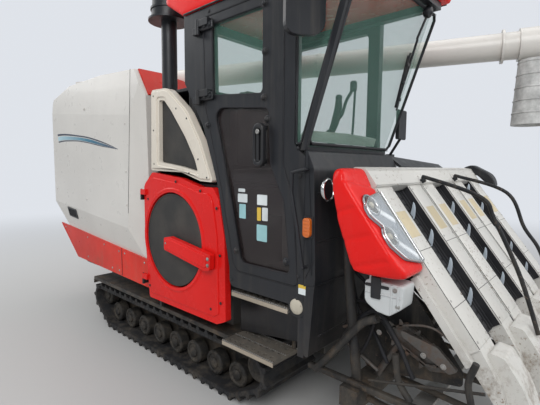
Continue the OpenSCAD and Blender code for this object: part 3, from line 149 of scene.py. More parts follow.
def make_stage():
    s = FLOOR_HALF
    mesh = bpy.data.meshes.new("floor")
    mesh.from_pydata([(-s, -s, 0), (s, -s, 0), (s, s, 0), (-s, s, 0)], [], [(0, 1, 2, 3)])
    # pale near the machine, and the sky's own brightness far off, so that no horizon shows
    t = Net("floor_pale")
    away = t.add("ShaderNodeVectorMath", {0: t.coord}, operation="LENGTH").outputs["Value"]
    fade = t.remap(away, FADE_NEAR, FADE_FAR, interpolation_type="SMOOTHSTEP")
    t.give({"Base Color": t.mix(fade, FLOOR_TONE, (0, 0, 0)), "Roughness": 0.9, "Specular IOR Level": 0.0,
            "Emission Color": BACKDROP, "Emission Strength": fade})
    mesh.materials.append(t.mat)
    linked("floor", mesh)
    # the sky lights the machine, and the camera sees the plain backdrop
    scene.world = bpy.data.worlds.new("sky")
    scene.world.use_nodes = True
    n, l = scene.world.node_tree.nodes, scene.world.node_tree.links
    sky, seen = n["Background"], n.new("ShaderNodeBackground")
    sky.inputs["Color"].default_value = (*SKY_LIGHT, 1)
    sky.inputs["Strength"].default_value = SKY_POWER
    seen.inputs["Color"].default_value = (*BACKDROP, 1)
    path, mix = n.new("ShaderNodeLightPath"), n.new("ShaderNodeMixShader")
    for a, b in ((path.outputs["Is Camera Ray"], mix.inputs[0]), (sky.outputs[0], mix.inputs[1]),
                 (seen.outputs[0], mix.inputs[2]), (mix.outputs[0], n["World Output"].inputs["Surface"])):
        l.new(a, b)
    for name, pos, target, size, power in AREA_LIGHTS:
        data = bpy.data.lights.new(name, "AREA")
        data.shape, data.size, data.energy = "DISK", size, power
        o = linked(name, data)
        o.location = pos
        o.rotation_mode = "QUATERNION"
        o.rotation_quaternion = (Vector(target) - Vector(pos)).to_track_quat("-Z", "Y")


# Materials
DUST, MUD = (0.30, 0.25, 0.19), (0.17, 0.115, 0.07)
DRY_MUD, RUST = (0.20, 0.165, 0.125), (0.13, 0.065, 0.035)


def shades(base, *factors):
    """The colour at each of the strengths."""
    return [tuple(min(1, c * k) for c in base) for k in factors]


def painted(name, base, rough=0.4, vary=0.10, dust=0.25, dust_top=1.2, chips=0.0,
            chip_colour=(0.16, 0.11, 0.08), metal=0.0, coat=0.0, bevel=0.004, spec=0.5, mud=0.0, mud_top=0.8):
    """A painted or moulded surface with colour drift, dust that gathers low down, chips and a fine skin."""
    t = Net(name)
    colour = t.mix(t.remap(t.noise(1.7, 5), 0.35, 0.65), *shades(base, 1 - vary, 1 + vary))
    streak = t.noise(2.2, 6, 0.65, (9, 9, 0.6))
    colour = t.mix(t.times(t.remap(streak, 0.5, 0.8), dust * 0.5), colour, DUST)
    cloud = t.remap(t.noise(4.5, 8, 0.7), 0.35, 0.75)
    film = t.times(t.times(t.remap(t.part(2), dust_top, 0.25), cloud), dust)
    colour = t.mix(t.math("MINIMUM", film, 0.9), colour, DUST)
    if mud:
        caked = t.times(t.remap(t.noise(8, 9, 0.75), 0.5, 0.6), t.remap(t.part(2), mud_top, mud_top - 0.3))
        colour = t.mix(t.times(caked, mud), colour, MUD)
    if chips:
        spots = t.remap(t.noise(60, 3, 0.7), 0.72 - chips * 0.12, 0.74 - chips * 0.12)
        colour = t.mix(t.times(spots, t.remap(t.noise(3.3, 3), 0.45, 0.65)), colour, chip_colour)
    drift = t.remap(t.noise(12, 5), 0.3, 0.7, rough * 0.8, rough * 1.2)
    t.give({"Base Color": colour, "Roughness": t.math("ADD", drift, t.times(film, 0.5)), "Metallic": metal,
            "Coat Weight": coat, "Specular IOR Level": spec})
    t.bumps((t.noise(500, 2), 0.12, 0.0006), (t.noise(14, 3), 0.25, 0.0015), bevel=bevel)
    return t.mat


def rubber(name, base, mud=0.6, mud_top=0.6):
    t = Net(name)
    colour = t.mix(t.remap(t.noise(6, 6, 0.7), 0.35, 0.7), *shades(base, 1, 2.2))
    low = t.remap(t.part(2), mud_top, 0.0, 0.1, 1.0)
    cake = t.times(t.remap(t.noise(9, 8, 0.75), 0.45, 0.7), t.times(low, mud))
    t.give({"Base Color": t.mix(cake, colour, DRY_MUD), "Roughness": t.remap(cake, 0, 1, 0.62, 0.95),
            "Specular IOR Level": 0.3})
    t.bumps((t.noise(220, 3), 0.25, 0.001), (t.noise(30, 6, 0.7), 0.4, 0.003), bevel=0.004)
    return t.mat


def metal(name, base, rough=0.4, rust=0.3, metallic=0.9):
    t = Net(name)
    spots = t.remap(t.noise(16, 8, 0.75), 0.62 - rust * 0.25, 0.72)
    colour = t.mix(t.remap(t.noise(7, 5), 0.3, 0.7), *shades(base, 0.75, 1))
    t.give({"Base Color": t.mix(spots, colour, RUST), "Roughness": t.remap(spots, 0, 1, rough, 0.85),
            "Metallic": t.remap(spots, 0, 1, metallic, 0.15)})
    t.bumps((t.noise(160, 4), 0.2, 0.0008), (spots, 0.15, 0.0006), bevel=0.002)
    return t.mat


def glass(name, tint, alpha):
    t = Net(name)
    film = t.times(t.remap(t.noise(2.5, 5, 0.6), 0.5, 0.9), 0.08)
    t.give({"Base Color": t.mix(film, tint, (0.40, 0.40, 0.36)), "Roughness": 0.04, "Alpha": alpha})
    t.bumps((t.noise(1.2, 2), 0.03, 0.003))
    return t.mat


def mesh_screen(name):
    """Fine wire mesh, as a grid of holes painted near black for the shade seen through them."""
    t = Net(name)
    flat = t.add("ShaderNodeMapping", {"Scale": (1, 0, 1), "Vector": t.coord}).outputs[0]
    cells = t.add("ShaderNodeTexVoronoi", {"Scale": 150, "Randomness": 0.0, "Vector": flat})
    hole = t.remap(cells.outputs["Distance"], 0.30, 0.36, 1, 0)
    wire = t.mix(t.remap(t.noise(5, 6), 0.4, 0.7), (0.035, 0.034, 0.032), (0.075, 0.068, 0.058))
    # the holes are painted near black, as painted shade of the dark space behind the mesh
    t.give({"Base Color": t.mix(hole, wire, (0.006, 0.006, 0.006)), "Roughness": 0.7})
    t.bumps((hole, 0.5, -0.001))
    return t.mat


def fabric(name, base):
    t = Net(name)
    weave = t.add("ShaderNodeTexWave", {"Scale": 260, "Distortion": 1.5, "Vector": t.coord},
                  wave_type="BANDS", bands_direction="DIAGONAL").outputs["Fac"]
    colour = t.mix(weave, *shades(base, 1, 2))
    t.give({"Base Color": t.mix(t.remap(t.noise(8, 5), 0.5, 0.8, 0, 0.3), colour, DUST), "Roughness": 0.9,
            "Sheen Weight": 0.3})
    t.bumps((weave, 0.3, 0.0008), (t.noise(20, 4), 0.3, 0.002))
    return t.mat


def inked(t, colour, low, high):
    """Gives the thin skin of a print or plate."""
    t.give({"Base Color": colour, "Roughness": t.remap(t.noise(20, 4), 0.3, 0.7, low, high)})
    t.bumps((t.noise(400, 2), 0.1, 0.0004))
    return t.mat


def ink(name, base, rough=0.35):
    t = Net(name)
    colour = t.mix(t.remap(t.noise(6, 5), 0.35, 0.65), *shades(base, 0.88, 1.12))
    scuffs = t.times(t.remap(t.noise(45, 6, 0.8), 0.62, 0.7), 0.3)
    return inked(t, t.mix(scuffs, colour, (0.55, 0.52, 0.47)), rough * 0.8, rough * 1.3)


def fading_ink(name, root, middle, tip):
    """Ink that changes along x, from a pale root to the stripe's tip."""
    t = Net(name)
    x = t.part(0)
    colour = t.mix(t.remap(x, -2.06, -1.45), root, middle)
    colour = t.mix(t.remap(x, -1.45, -0.85), colour, tip)
    return inked(t, t.mix(t.remap(t.noise(9, 5), 0.4, 0.8, 0, 0.2), colour, (0.5, 0.5, 0.48)), 0.28, 0.45)


# Keyed by the name given, without the .001 that Blender adds where the frame has a material of that name
MATS = {m.name.split(".")[0]: m for m in (
    rubber("track_rubber", (0.013, 0.013, 0.014), 0.45, 0.5),
    # the rollers are darker than their dark iron alone, as painted shade on their recessed faces
    rubber("roller_iron", (0.016, 0.015, 0.014), 0.5, 0.6),
    painted("frame_paint", (0.013, 0.014, 0.016), 0.5, 0.2, 0.35, 1.1, 0.8, spec=0.25, mud=0.35),
    painted("gear_iron", (0.07, 0.07, 0.07), 0.6, 0.2, 0.5, 1.0, metal=0.3, spec=0.3),
    painted("charcoal_sheet", (0.014, 0.015, 0.018), 0.45, 0.2, 0.22, 0.9, spec=0.3),
    painted("charcoal_paint", (0.012, 0.013, 0.016), 0.35, 0.2, 0.15, 0.9, spec=0.4),
    painted("charcoal_plastic", (0.014, 0.015, 0.018), 0.4, 0.25, 0.2, 1.0, spec=0.35),
    painted("cream_plastic", (0.68, 0.62, 0.53), 0.3, 0.04, 0.10, 0.9, coat=0.15, spec=0.3),
    painted("cream_sheet", (0.62, 0.595, 0.555), 0.32, 0.04, 0.10, 1.1, coat=0.15, spec=0.3),
    painted("red_plastic", (0.70, 0.012, 0.010), 0.25, 0.06, 0.05, 0.8, coat=0.06, spec=0.15),
    painted("red_sheet", (0.62, 0.024, 0.012), 0.32, 0.14, 0.22, 0.95, coat=0.03, spec=0.15, mud=0.5),
    glass("cab_glass", (0.15, 0.32, 0.25), 0.17),
    fabric("seat_cover", (0.03, 0.03, 0.033)),
    metal("step_steel", (0.45, 0.44, 0.42), 0.45, 0.45),
    metal("chain_steel", (0.16, 0.15, 0.14), 0.5, 0.6),
    mesh_screen("screen_mesh"),
    metal("rod_chrome", (0.7, 0.7, 0.7), 0.12, 0.0, 1.0),
    rubber("spout_rubber", (0.32, 0.32, 0.31), 0.2),
    painted("case_plastic", (0.60, 0.585, 0.55), 0.42, 0.04, 0.22, 1.3, 0.9, (0.20, 0.13, 0.08), spec=0.3,
            mud=0.75, mud_top=0.85),
    rubber("lane_rubber", (0.012, 0.012, 0.014), 0.2, 1.2),
    glass("lamp_glass", (0.75, 0.80, 0.82), 0.14),
    painted("reservoir_plastic", (0.52, 0.54, 0.54), 0.4, 0.06, 0.2, 1.1),
    painted("orange_lens", (0.60, 0.13, 0.009), 0.2, 0.05, 0.1, 0.5, coat=0.6),
    # finishes of single pieces, which aren't slots of the record
    ink("ink_navy", (0.014, 0.026, 0.055)),
    fading_ink("ink_teal", (0.42, 0.60, 0.66), (0.035, 0.20, 0.30), (0.014, 0.035, 0.085)),
    painted("blank_patch", (0.58, 0.49, 0.32), 0.6, 0.12, 0.35, 1.6, 0.9, (0.40, 0.35, 0.26), bevel=0.001),
    painted("tine_plastic", (0.45, 0.51, 0.57), 0.35, 0.10, 0.25, 1.4, 0.6, (0.12, 0.12, 0.12)),
    ink("lamp_well_grey", (0.26, 0.28, 0.31), 0.3),
    ink("lamp_bowl", (0.07, 0.06, 0.05), 0.25),
    ink("lamp_strip", (0.85, 0.87, 0.89), 0.2),
    ink("bulb_glass", (0.40, 0.36, 0.28), 0.12),
    metal("reflector_silver", (0.62, 0.64, 0.66), 0.22, 0.0, 1.0),
    painted("dash_pale", (0.30, 0.36, 0.31), 0.6, 0.15, 0.1, 1.0, 0.4, (0.12, 0.14, 0.12), spec=0.3),
    painted("step_plate", (0.085, 0.08, 0.072), 0.55, 0.35, 0.6, 1.4, 0.9, (0.35, 0.34, 0.31), metal=0.2,
            spec=0.4),
    painted("step_lip", (0.34, 0.29, 0.23), 0.7, 0.25, 0.4, 1.4, 0.9, (0.10, 0.085, 0.07), spec=0.3),
    glass("smoked_pane", (0.030, 0.022, 0.022), 0.55),
    ink("plate_yellow", (0.62, 0.42, 0.05)),
    ink("plate_white", (0.62, 0.66, 0.66)),
    ink("plate_aqua", (0.28, 0.50, 0.52)),
    painted("cap_plastic", (0.46, 0.42, 0.34), 0.5, 0.15, 0.5, 1.1, 0.6, spec=0.3),
)}


# Shapes. Tables are in millimetres, meshes in metres
MM = 0.001
SLOPE = math.radians(53)
CASE_TOP = (1430, 1449)
OUT, LEFT, UP = (0, -1, 0), (0, 1, 0), (0, 0, 1)
DARK, STEEL = "charcoal_plastic", "step_steel"


def turn_points(n, r=1.0):
    """Pairs of cosine and sine round a circle."""
    return [(r * math.cos(2 * math.pi * k / n), r * math.sin(2 * math.pi * k / n)) for k in range(n)]


def rounded(rows, steps=5):
    """Outline points from rows of [x, z, corner radius]."""
    out = []
    for i, (x, z, r) in enumerate(rows):
        p, a, b = Vector((x, z)), Vector(rows[i - 1][:2]), Vector(rows[(i + 1) % len(rows)][:2])
        if r <= 0:
            out.append(p)
            continue
        u, v = (a - p).normalized(), (b - p).normalized()
        half = u.angle(v) / 2
        mid = p + (u + v).normalized() * r / math.sin(half)
        s, e = p + u * r / math.tan(half) - mid, p + v * r / math.tan(half) - mid
        a0 = math.atan2(s.y, s.x)
        turn = (math.atan2(e.y, e.x) - a0 + 3 * math.pi) % (2 * math.pi) - math.pi
        out += [mid + r * Vector((math.cos(a0 + turn * k / steps), math.sin(a0 + turn * k / steps)))
                for k in range(steps + 1)]
    return out


def rect(x0, z0, x1, z1, r, steps=5):
    """The outline of a rectangle with round corners."""
    return rounded([(x0, z0, r), (x1, z0, r), (x1, z1, r), (x0, z1, r)], steps)


def area(loop):
    return sum(a.x * b.y - b.x * a.y for a, b in zip(loop, loop[1:] + loop[:1])) / 2


def inset(loop, d):
    """The outline moved inward by d."""
    loop = list(loop)
    if area(loop) < 0:
        loop.reverse()
    clean = [p for i, p in enumerate(loop) if (p - loop[i - 1]).length > 0.01]
    out = []
    for i, p in enumerate(clean):
        u = (p - clean[i - 1]).normalized()
        v = (clean[(i + 1) % len(clean)] - p).normalized()
        n = (Vector((-u.y, u.x)) + Vector((-v.y, v.x))).normalized()
        out.append(p + n * d / max(0.45, n.dot(Vector((-u.y, u.x)))))
    return out


def curve_through(points, steps=6):
    """A smooth line through the points."""
    pts = [Vector(p) for p in points]
    pts = [2 * pts[0] - pts[1]] + pts + [2 * pts[-1] - pts[-2]]
    out = []
    for a, b, c, d in zip(pts, pts[1:], pts[2:], pts[3:]):
        for k in range(steps):
            t = k / steps
            out.append(0.5 * ((2 * b) + (c - a) * t + (2 * a - 5 * b + 4 * c - d) * t * t
                              + (3 * b - a - 3 * c + d) * t ** 3))
    return out + [pts[-2]]


def even(pts, pitch):
    """Rows at an even pitch along a closed line of (point, direction), each with its tangent."""
    out, carry = [], 0.0
    for (a, da), (b, db) in zip(pts, pts[1:] + pts[:1]):
        d = (b - a).length
        while d and carry < d:
            t = carry / d
            out.append((a.lerp(b, t), da.lerp(db, t).normalized(), (b - a).normalized()))
            carry += pitch
        carry -= d
    return out


def links(loop, pitch, half, wide):
    """Place, tangent, outward direction, ends and outline of each chain link along a closed line."""
    for p, _, t in even([(p, p) for p in loop], pitch):
        out, a, b = Vector((t.y, -t.x)), p - t * half, p + t * half
        yield p, t, out, a, b, (a - out * wide, b - out * wide, b + out * wide, a + out * wide)


def at_y(y, rows):
    """Points of x and z put at y."""
    return [Vector((x, y, z)) for x, z in rows]


def on_side(y):
    """A frame whose x, y and depth are the machine's x, z and -y, at that y."""
    return Matrix(((1, 0, 0, 0), (0, 0, -1, y), (0, 1, 0, 0), (0, 0, 0, 1)))


def on_top(z):
    return Matrix.Translation((0, 0, z))


def case_frame():
    """A frame down the raising cases: x down the slope, y across, z out of them."""
    c, s = math.cos(SLOPE), math.sin(SLOPE)
    return Matrix(((c, 0, s, CASE_TOP[0]), (0, 1, 0, 0), (-s, 0, c, CASE_TOP[1]), (0, 0, 0, 1)))


CASE = case_frame()
CASE_OUT = CASE.to_3x3() @ Vector(UP)


def on_case(s, y, n):
    """The point s down the cases, at y, and n out of them."""
    return CASE @ Vector((s, y, n))


def tilted(origin, right, up):
    """A frame at origin with its x along right and its y towards up."""
    x = Vector(right).normalized()
    z = x.cross(Vector(up)).normalized()
    return Matrix([*zip(x, z.cross(x), z, origin), (0, 0, 0, 1)])


def piece(name, mesh, slot, body, ink=None, angle=35, replaced=()):
    """An object that rides on a body, with its slot's material or one of its own."""
    mesh.materials.clear()
    mesh.materials.append(MATS[ink or slot])
    mesh.polygons.foreach_set("use_smooth", [True] * len(mesh.polygons))
    mesh.set_sharp_from_angle(angle=math.radians(angle))
    o = linked(name, mesh)
    if replaced:
        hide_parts(*replaced)
    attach(o, body)
    return o


def applied(name, data, *modifiers):
    """A mesh of the data with modifiers in it, each given as its kind and settings."""
    o = linked(name, data)
    for kind, settings in modifiers:
        m = o.modifiers.new(kind.lower(), kind)
        for key, value in settings.items():
            setattr(m, key, value)
    mesh = bpy.data.meshes.new_from_object(o.evaluated_get(bpy.context.evaluated_depsgraph_get()))
    bpy.data.objects.remove(o)
    return mesh


def plate(name, loops, depth, bevel, place, slot, body="chassis", res=2, **more):
    """A flat plate with eased edges, from 2D outlines with the outer one first, half its depth each way."""
    c = bpy.data.curves.new(name, "CURVE")
    c.dimensions, c.fill_mode = "2D", "BOTH"
    c.extrude, c.bevel_depth, c.bevel_resolution, c.offset = depth / 2 - bevel, bevel, res, -bevel
    for k, loop in enumerate(loops):
        loop = list(loop)
        if (area(loop) > 0) != (k == 0):
            loop.reverse()
        s = c.splines.new("POLY")
        s.points.add(len(loop) - 1)
        for point, p in zip(s.points, loop):
            point.co = (p.x, p.y, 0, 1)
        s.use_cyclic_u = True
    mesh = applied(name, c)
    mesh.transform(Matrix.Scale(MM, 4) @ place)
    return piece(name, mesh, slot, body, **more)


class Form:
    """Gathers solids in millimetres into one mesh. Each call returns the form for the next."""

    def __init__(self, name):
        self.name = name
        self.bm = bmesh.new()

    def hull(self, rings, caps=True):
        """Skin over rings of points that have equal counts."""
        bm = self.bm
        rows = [[bm.verts.new(p) for p in ring] for ring in rings]
        n = len(rows[0])
        for a, b in zip(rows, rows[1:]):
            for k in range(n):
                bm.faces.new((a[k], a[(k + 1) % n], b[(k + 1) % n], b[k]))
        if caps:
            bm.faces.new(list(reversed(rows[0])))
            bm.faces.new(rows[-1])
        return self

    def slab(self, y0, y1, points):
        """An outline of x and z between two y."""
        return self.hull([at_y(y0, points), at_y(y1, points)])

    def box(self, low, high, e=0, place=Matrix()):
        """A box, with edges eased by e."""
        (x0, y0, z0), (x1, y1, z1) = low, high

        def ring(z, d):
            return [place @ Vector((x, y, z)) for x, y in (
                (x0 + d, y0 + e), (x0 + e, y0 + d), (x1 - e, y0 + d), (x1 - d, y0 + e),
                (x1 - d, y1 - e), (x1 - e, y1 - d), (x0 + e, y1 - d), (x0 + d, y1 - e))]
        if e:
            return self.hull([ring(z0, e), ring(z0 + e, 0), ring(z1 - e, 0), ring(z1, e)])
        return self.hull([[place @ Vector((x, y, z)) for x, y in ((x0, y0), (x1, y0), (x1, y1), (x0, y1))]
                          for z in (z0, z1)])

    def lathe(self, centre, axis, profile, seg=20):
        """Profile rows of [radius, height] turned about the axis through centre."""
        turn = Vector(axis).to_track_quat("Z", "Y").to_matrix()
        return self.hull([[Vector(centre) + turn @ Vector((x, y, h)) for x, y in turn_points(seg, r)]
                          for r, h in profile])

    def bolt(self, centre, axis=OUT, r=9):
        """A washer with a six-sided head."""
        self.lathe(centre, axis, [(r * 1.5, -1), (r * 1.5, 1.5), (r * 1.42, 2.2)], 18)
        return self.lathe(centre, axis, [(r, 0), (r, r * 0.62), (r * 0.82, r * 0.8)], 6)

    def bolts(self, y, spots, r, axis=OUT):
        for spot in at_y(y, spots):
            self.bolt(spot, axis, r)
        return self

    def dome(self, centre, axis, r, h, seg=18):
        crown = [(r * math.cos(t), h * (0.25 + 0.75 * math.sin(t))) for t in (0.5, 0.9, 1.25, 1.5)]
        return self.lathe(centre, axis, [(r, -1), (r, h * 0.25)] + crown, seg)

    def tube(self, points, r, seg=10, closed=False):
        """A tube along the points, of one radius or one for each point."""
        pts = [Vector(p) for p in points]
        rings, side = [], None
        n = len(pts)
        for i, p in enumerate(pts):
            a = pts[i - 1] if i or closed else p
            b = pts[(i + 1) % n] if i < n - 1 or closed else p
            t = (b - a).normalized()
            if side is None:
                side = t.orthogonal().normalized()
            side = (side - t * side.dot(t)).normalized()
            other = t.cross(side)
            rr = r[i] if isinstance(r, list) else r
            rings.append([p + rr * (c * side + s * other) for c, s in turn_points(seg)])
        return self.hull(rings + rings[:1] if closed else rings, caps=not closed)

    def strip(self, a_side, b_side, thick, normal):
        """A thin band between two lines of points, thick along normal."""
        up = Vector(normal).normalized() * thick
        return self.hull([[p, q, q + up, p + up] for p, q in zip(a_side, b_side)])

    def make(self, slot, body="chassis", ink=None, **more):
        bmesh.ops.recalc_face_normals(self.bm, faces=self.bm.faces)
        mesh = bpy.data.meshes.new(self.name)
        self.bm.to_mesh(mesh)
        self.bm.free()
        mesh.transform(Matrix.Scale(MM, 4))
        return piece(self.name, mesh, slot, body, ink, **more)


def softened(name, node, voxel, rounds, slot, body, shape=None):
    """A copy of a CAD node with moulded, rounded edges, that stands for it."""
    mesh = applied(name + "_raw", nodes[node].data.copy(),
                   ("REMESH", {"mode": "VOXEL", "voxel_size": voxel * MM}),
                   ("SMOOTH", {"factor": 0.5, "iterations": rounds}))
    if shape:
        for v in mesh.vertices:
            v.co = shape(v.co / MM) * MM
    mesh = applied(name + "_full", mesh, ("DECIMATE", {"ratio": 0.3}))
    return piece(name, mesh, slot, body, angle=60, replaced=(node,))


# Right side: tank, cover, grille and door
SIDE = 955
TANK, DOOR, COVER, SCREEN = "tank", "cab_door", "engine_door", "screen"
STRIPE_TOP = [(-2064, 1863), (-1940, 1862), (-1780, 1852), (-1596, 1834), (-1329, 1804), (-1087, 1760),
              (-901, 1718), (-762, 1680)]
STRIPE_FOOT = [(-2036, 1769), (-1920, 1776), (-1798, 1776), (-1555, 1767), (-1334, 1744), (-1129, 1716),
               (-939, 1694), (-762, 1679)]
# Name, start and end as shares of the stripe's height, and ink
STRIPE_BANDS = [("stripe_upper", 0.0, 0.20, "ink_navy"), ("stripe_middle", 0.30, 0.74, "ink_teal"),
                ("stripe_lower", 0.80, 0.93, "ink_navy")]
TANK_BOLTS = [(-2130, 2020), (-2130, 1700), (-2130, 1300), (-640, 1880), (-640, 1500), (-640, 1230),
              (-1400, 2060), (-1400, 1230)]
SKIRT_BOLTS = [(-2040, 895), (-1500, 850), (-1150, 830), (-870, 810), (-770, 805), (-450, 780), (-1500, 660),
               (-1000, 640), (-450, 625), (-870, 640)]
VENT_LOW, VENT_HIGH = Vector((-1775, -923, 1015)), Vector((-1775, -951, 1125))
ROOF_FALL = math.atan((2330 - 2190) / 810)


def stripe():
    """A generic swoosh in three bands on the tank's side."""
    top, foot = (curve_through(at_y(-SIDE, rows)) for rows in (STRIPE_TOP, STRIPE_FOOT))
    for name, a, b, ink in STRIPE_BANDS:
        lines = [[p.lerp(q, k) for p, q in zip(top, foot)] for k in (a, b)]
        Form(name).strip(*lines, 0.8, OUT).make("cream_sheet", TANK, ink)


def tank_dress():
    y = -SIDE
    Form("tank_bolts").bolts(y, TANK_BOLTS, 7).make("cream_sheet", TANK)
    # seam down the tank's front corner
    Form("tank_seam").tube(at_y(y - 0.6, [(-535, 2284), (-597, 1450), (-618, 1164)]), 1.8, 6).make(DARK, TANK)
    # small vent on the lower fold
    place = tilted((VENT_LOW + VENT_HIGH) / 2 + Vector((0, -4, 0)), (1, 0, -0.083), VENT_HIGH - VENT_LOW)
    plate("vent_frame", [rect(-105, -50, 105, 50, 8), rect(-88, -36, 88, 36, 4)], 10, 2, place, DARK, TANK)
    form = Form("vent_slats").box((-90, -38, -3), (90, 38, -1), 0, place)
    for k in range(6):
        form.box((-90, -34 + 12 * k, -2), (90, -28 + 12 * k, 4), 1, place)
    form.make("lane_rubber", TANK)
    # lid on the roof
    roof = Matrix.Translation((0, -880, 2330)) @ Matrix.Rotation(-ROOF_FALL, 4, "X")
    plate("tank_lid", [rect(-1685, 175, -915, 745, 40)], 18, 6, roof @ on_top(30), "red_sheet", TANK)
    form = Form("tank_lid_fittings")
    for x in (-1600, -1000):
        form.box((x - 45, 130, 8), (x + 45, 190, 44), 6, roof)
        form.tube([roof @ Vector((x + side, 160, 38)) for side in (-60, 60)], 9)
    handle = [(-1380, 700, 30), (-1380, 715, 62), (-1220, 715, 62), (-1220, 700, 30)]
    form.tube([roof @ Vector(p) for p in handle], 8).make(DARK, TANK)
    # skirt: seam, fold along the edges and fasteners
    y = -917.5
    Form("skirt_seams").tube(at_y(y, [(-822, 846), (-820, 606)]), 3, 6).make(DARK, TANK)
    form = Form("skirt_edge").tube(at_y(y + 2, [(-2146, 928), (-394, 808)]), 5, 8)
    form.tube(at_y(y + 2, [(-2146, 928), (-1742, 625), (-394, 594)]), 5, 8).make("red_sheet", TANK)
    Form("skirt_bolts").bolts(y, SKIRT_BOLTS, 6).make(STEEL, TANK)


COVER_FACE = [(-282, 588, 30), (462, 596, 30), (505, 625, 25), (492, 1105, 200), (452, 1320, 50),
              (415, 1378, 40), (318, 1376, 60), (105, 1427, 100), (-228, 1462, 40), (-330, 1380, 50),
              (-330, 1030, 0)]
COVER_BOLTS = [(-300, 640), (-300, 1300), (430, 640), (525, 700), (520, 1000), (490, 1290), (60, 1440),
               (330, 1390)]
COVER_RING = [(8, -20), (10, -4), (16, 8), (24, 13.5), (32, 13.5), (42, 6), (46, 3), (46, -20)]
ARM_FACE = [(-18, 975, 12), (-18, 1032, 12), (25, 1045, 10), (440, 992, 8), (440, 920, 10), (418, 914, 12)]
SCREEN_X, SCREEN_Z, SCREEN_R = 10, 1030, 325


def cover_dress():
    hub = (SCREEN_X, -SIDE, SCREEN_Z)
    hole = [Vector((SCREEN_X + x, SCREEN_Z + z)) for x, z in turn_points(96, SCREEN_R + 44)]
    plate("cover_face", [rounded(COVER_FACE), hole], 14, 5, on_side(-SIDE), "red_plastic", COVER, res=3)
    ring = [(SCREEN_R + r, h) for r, h in COVER_RING]
    Form("cover_ring").lathe(hub, OUT, ring, 96).make("red_plastic", COVER, angle=60)
    Form("cover_bolts").bolts(-SIDE - 7, COVER_BOLTS, 6).make(DARK, COVER)
    # fine rim on the round screen
    rim = [(SCREEN_R - 5 + r, h) for r, h in ((4, -2), (4, 2), (0, 3.5), (-4, 2), (-4, -2))]
    Form("screen_rim").lathe(hub, OUT, rim, 72).make("screen_mesh", SCREEN, angle=60)
    plate("arm_face", [rounded(ARM_FACE)], 10, 3, on_side(-SIDE - 50), "red_plastic", COVER)
    Form("arm_bolts").bolts(-SIDE - 52, [(-2, 1012), (455, 935), (455, 975)], 8).make(STEEL, COVER)


GRILLE_FACE = [(-243, 1528, 15), (-226, 2074, 22), (-34, 2066, 140), (180, 1902, 295), (316, 1704, 290),
               (430, 1463, 10), (325, 1467, 60), (122, 1520, 100)]
GRILLE_HOLE = [(-170, 1553, 25), (-163, 2030, 25), (-66, 2022, 45), (20, 1941, 150), (183, 1752, 300),
               (285, 1603, 200), (330, 1488, 15), (99, 1522, 60)]
GRILLE_INNER = [(-147, 1575, 15), (-140, 2008, 15), (-75, 2000, 40), (5, 1925, 150),
                (165, 1740, 300), (265, 1595, 200), (300, 1510, 10), (104, 1545, 60)]
GRILLE_SCREWS = [(78, 1929), (194, 1855), (313, 1590), (-205, 1560), (-200, 2040), (-205, 1800), (215, 1500),
                 (400, 1475)]


def grille_dress():
    plate("grille_face", [rounded(GRILLE_FACE), rounded(GRILLE_HOLE)], 16, 5, on_side(-SIDE - 1),
          "cream_plastic", res=3)
    well = [at_y(y, rounded(rows, 6)) for y, rows in ((-SIDE - 2, GRILLE_HOLE), (-SIDE + 34, GRILLE_INNER))]
    Form("grille_well").hull(well, caps=False).make("cream_plastic", angle=60)
    plate("grille_mesh", [rounded(GRILLE_INNER, 6)], 4, 1, on_side(-SIDE + 30), "screen_mesh")
    form = Form("grille_screws")
    for spot in at_y(-SIDE - 8, GRILLE_SCREWS):
        form.dome(spot, OUT, 7, 3)
    form.make(DARK)


# Corners and finish of the blank plates behind the door's lower pane
PANE_PLATES = [(660, 1400, 716, 1420, "white"), (655, 1340, 735, 1390, "white"),
               (668, 1246, 722, 1330, "aqua"), (813, 1334, 890, 1392, "white"),
               (813, 1245, 843, 1320, "yellow"), (852, 1248, 895, 1322, "white"),
               (811, 1131, 890, 1224, "aqua")]
DOOR_DOTS = [(881, 2396), (884, 2151), (878, 1914), (906, 1799), (405, 1798), (664, 1054), (1045, 1053)]
UPPER_PANE = [(440, 2395, 30), (870, 2395, 30), (870, 1935, 30), (450, 1972, 30)]
LOWER_PANE = [(455, 1905, 60), (915, 1862, 40), (930, 1560, 60), (1025, 1375, 60), (1075, 985, 30),
              (695, 985, 50), (595, 1400, 200)]
PULL_X, PULL_Z, HINGE_ZS = 880, 1665, (1970, 2385)


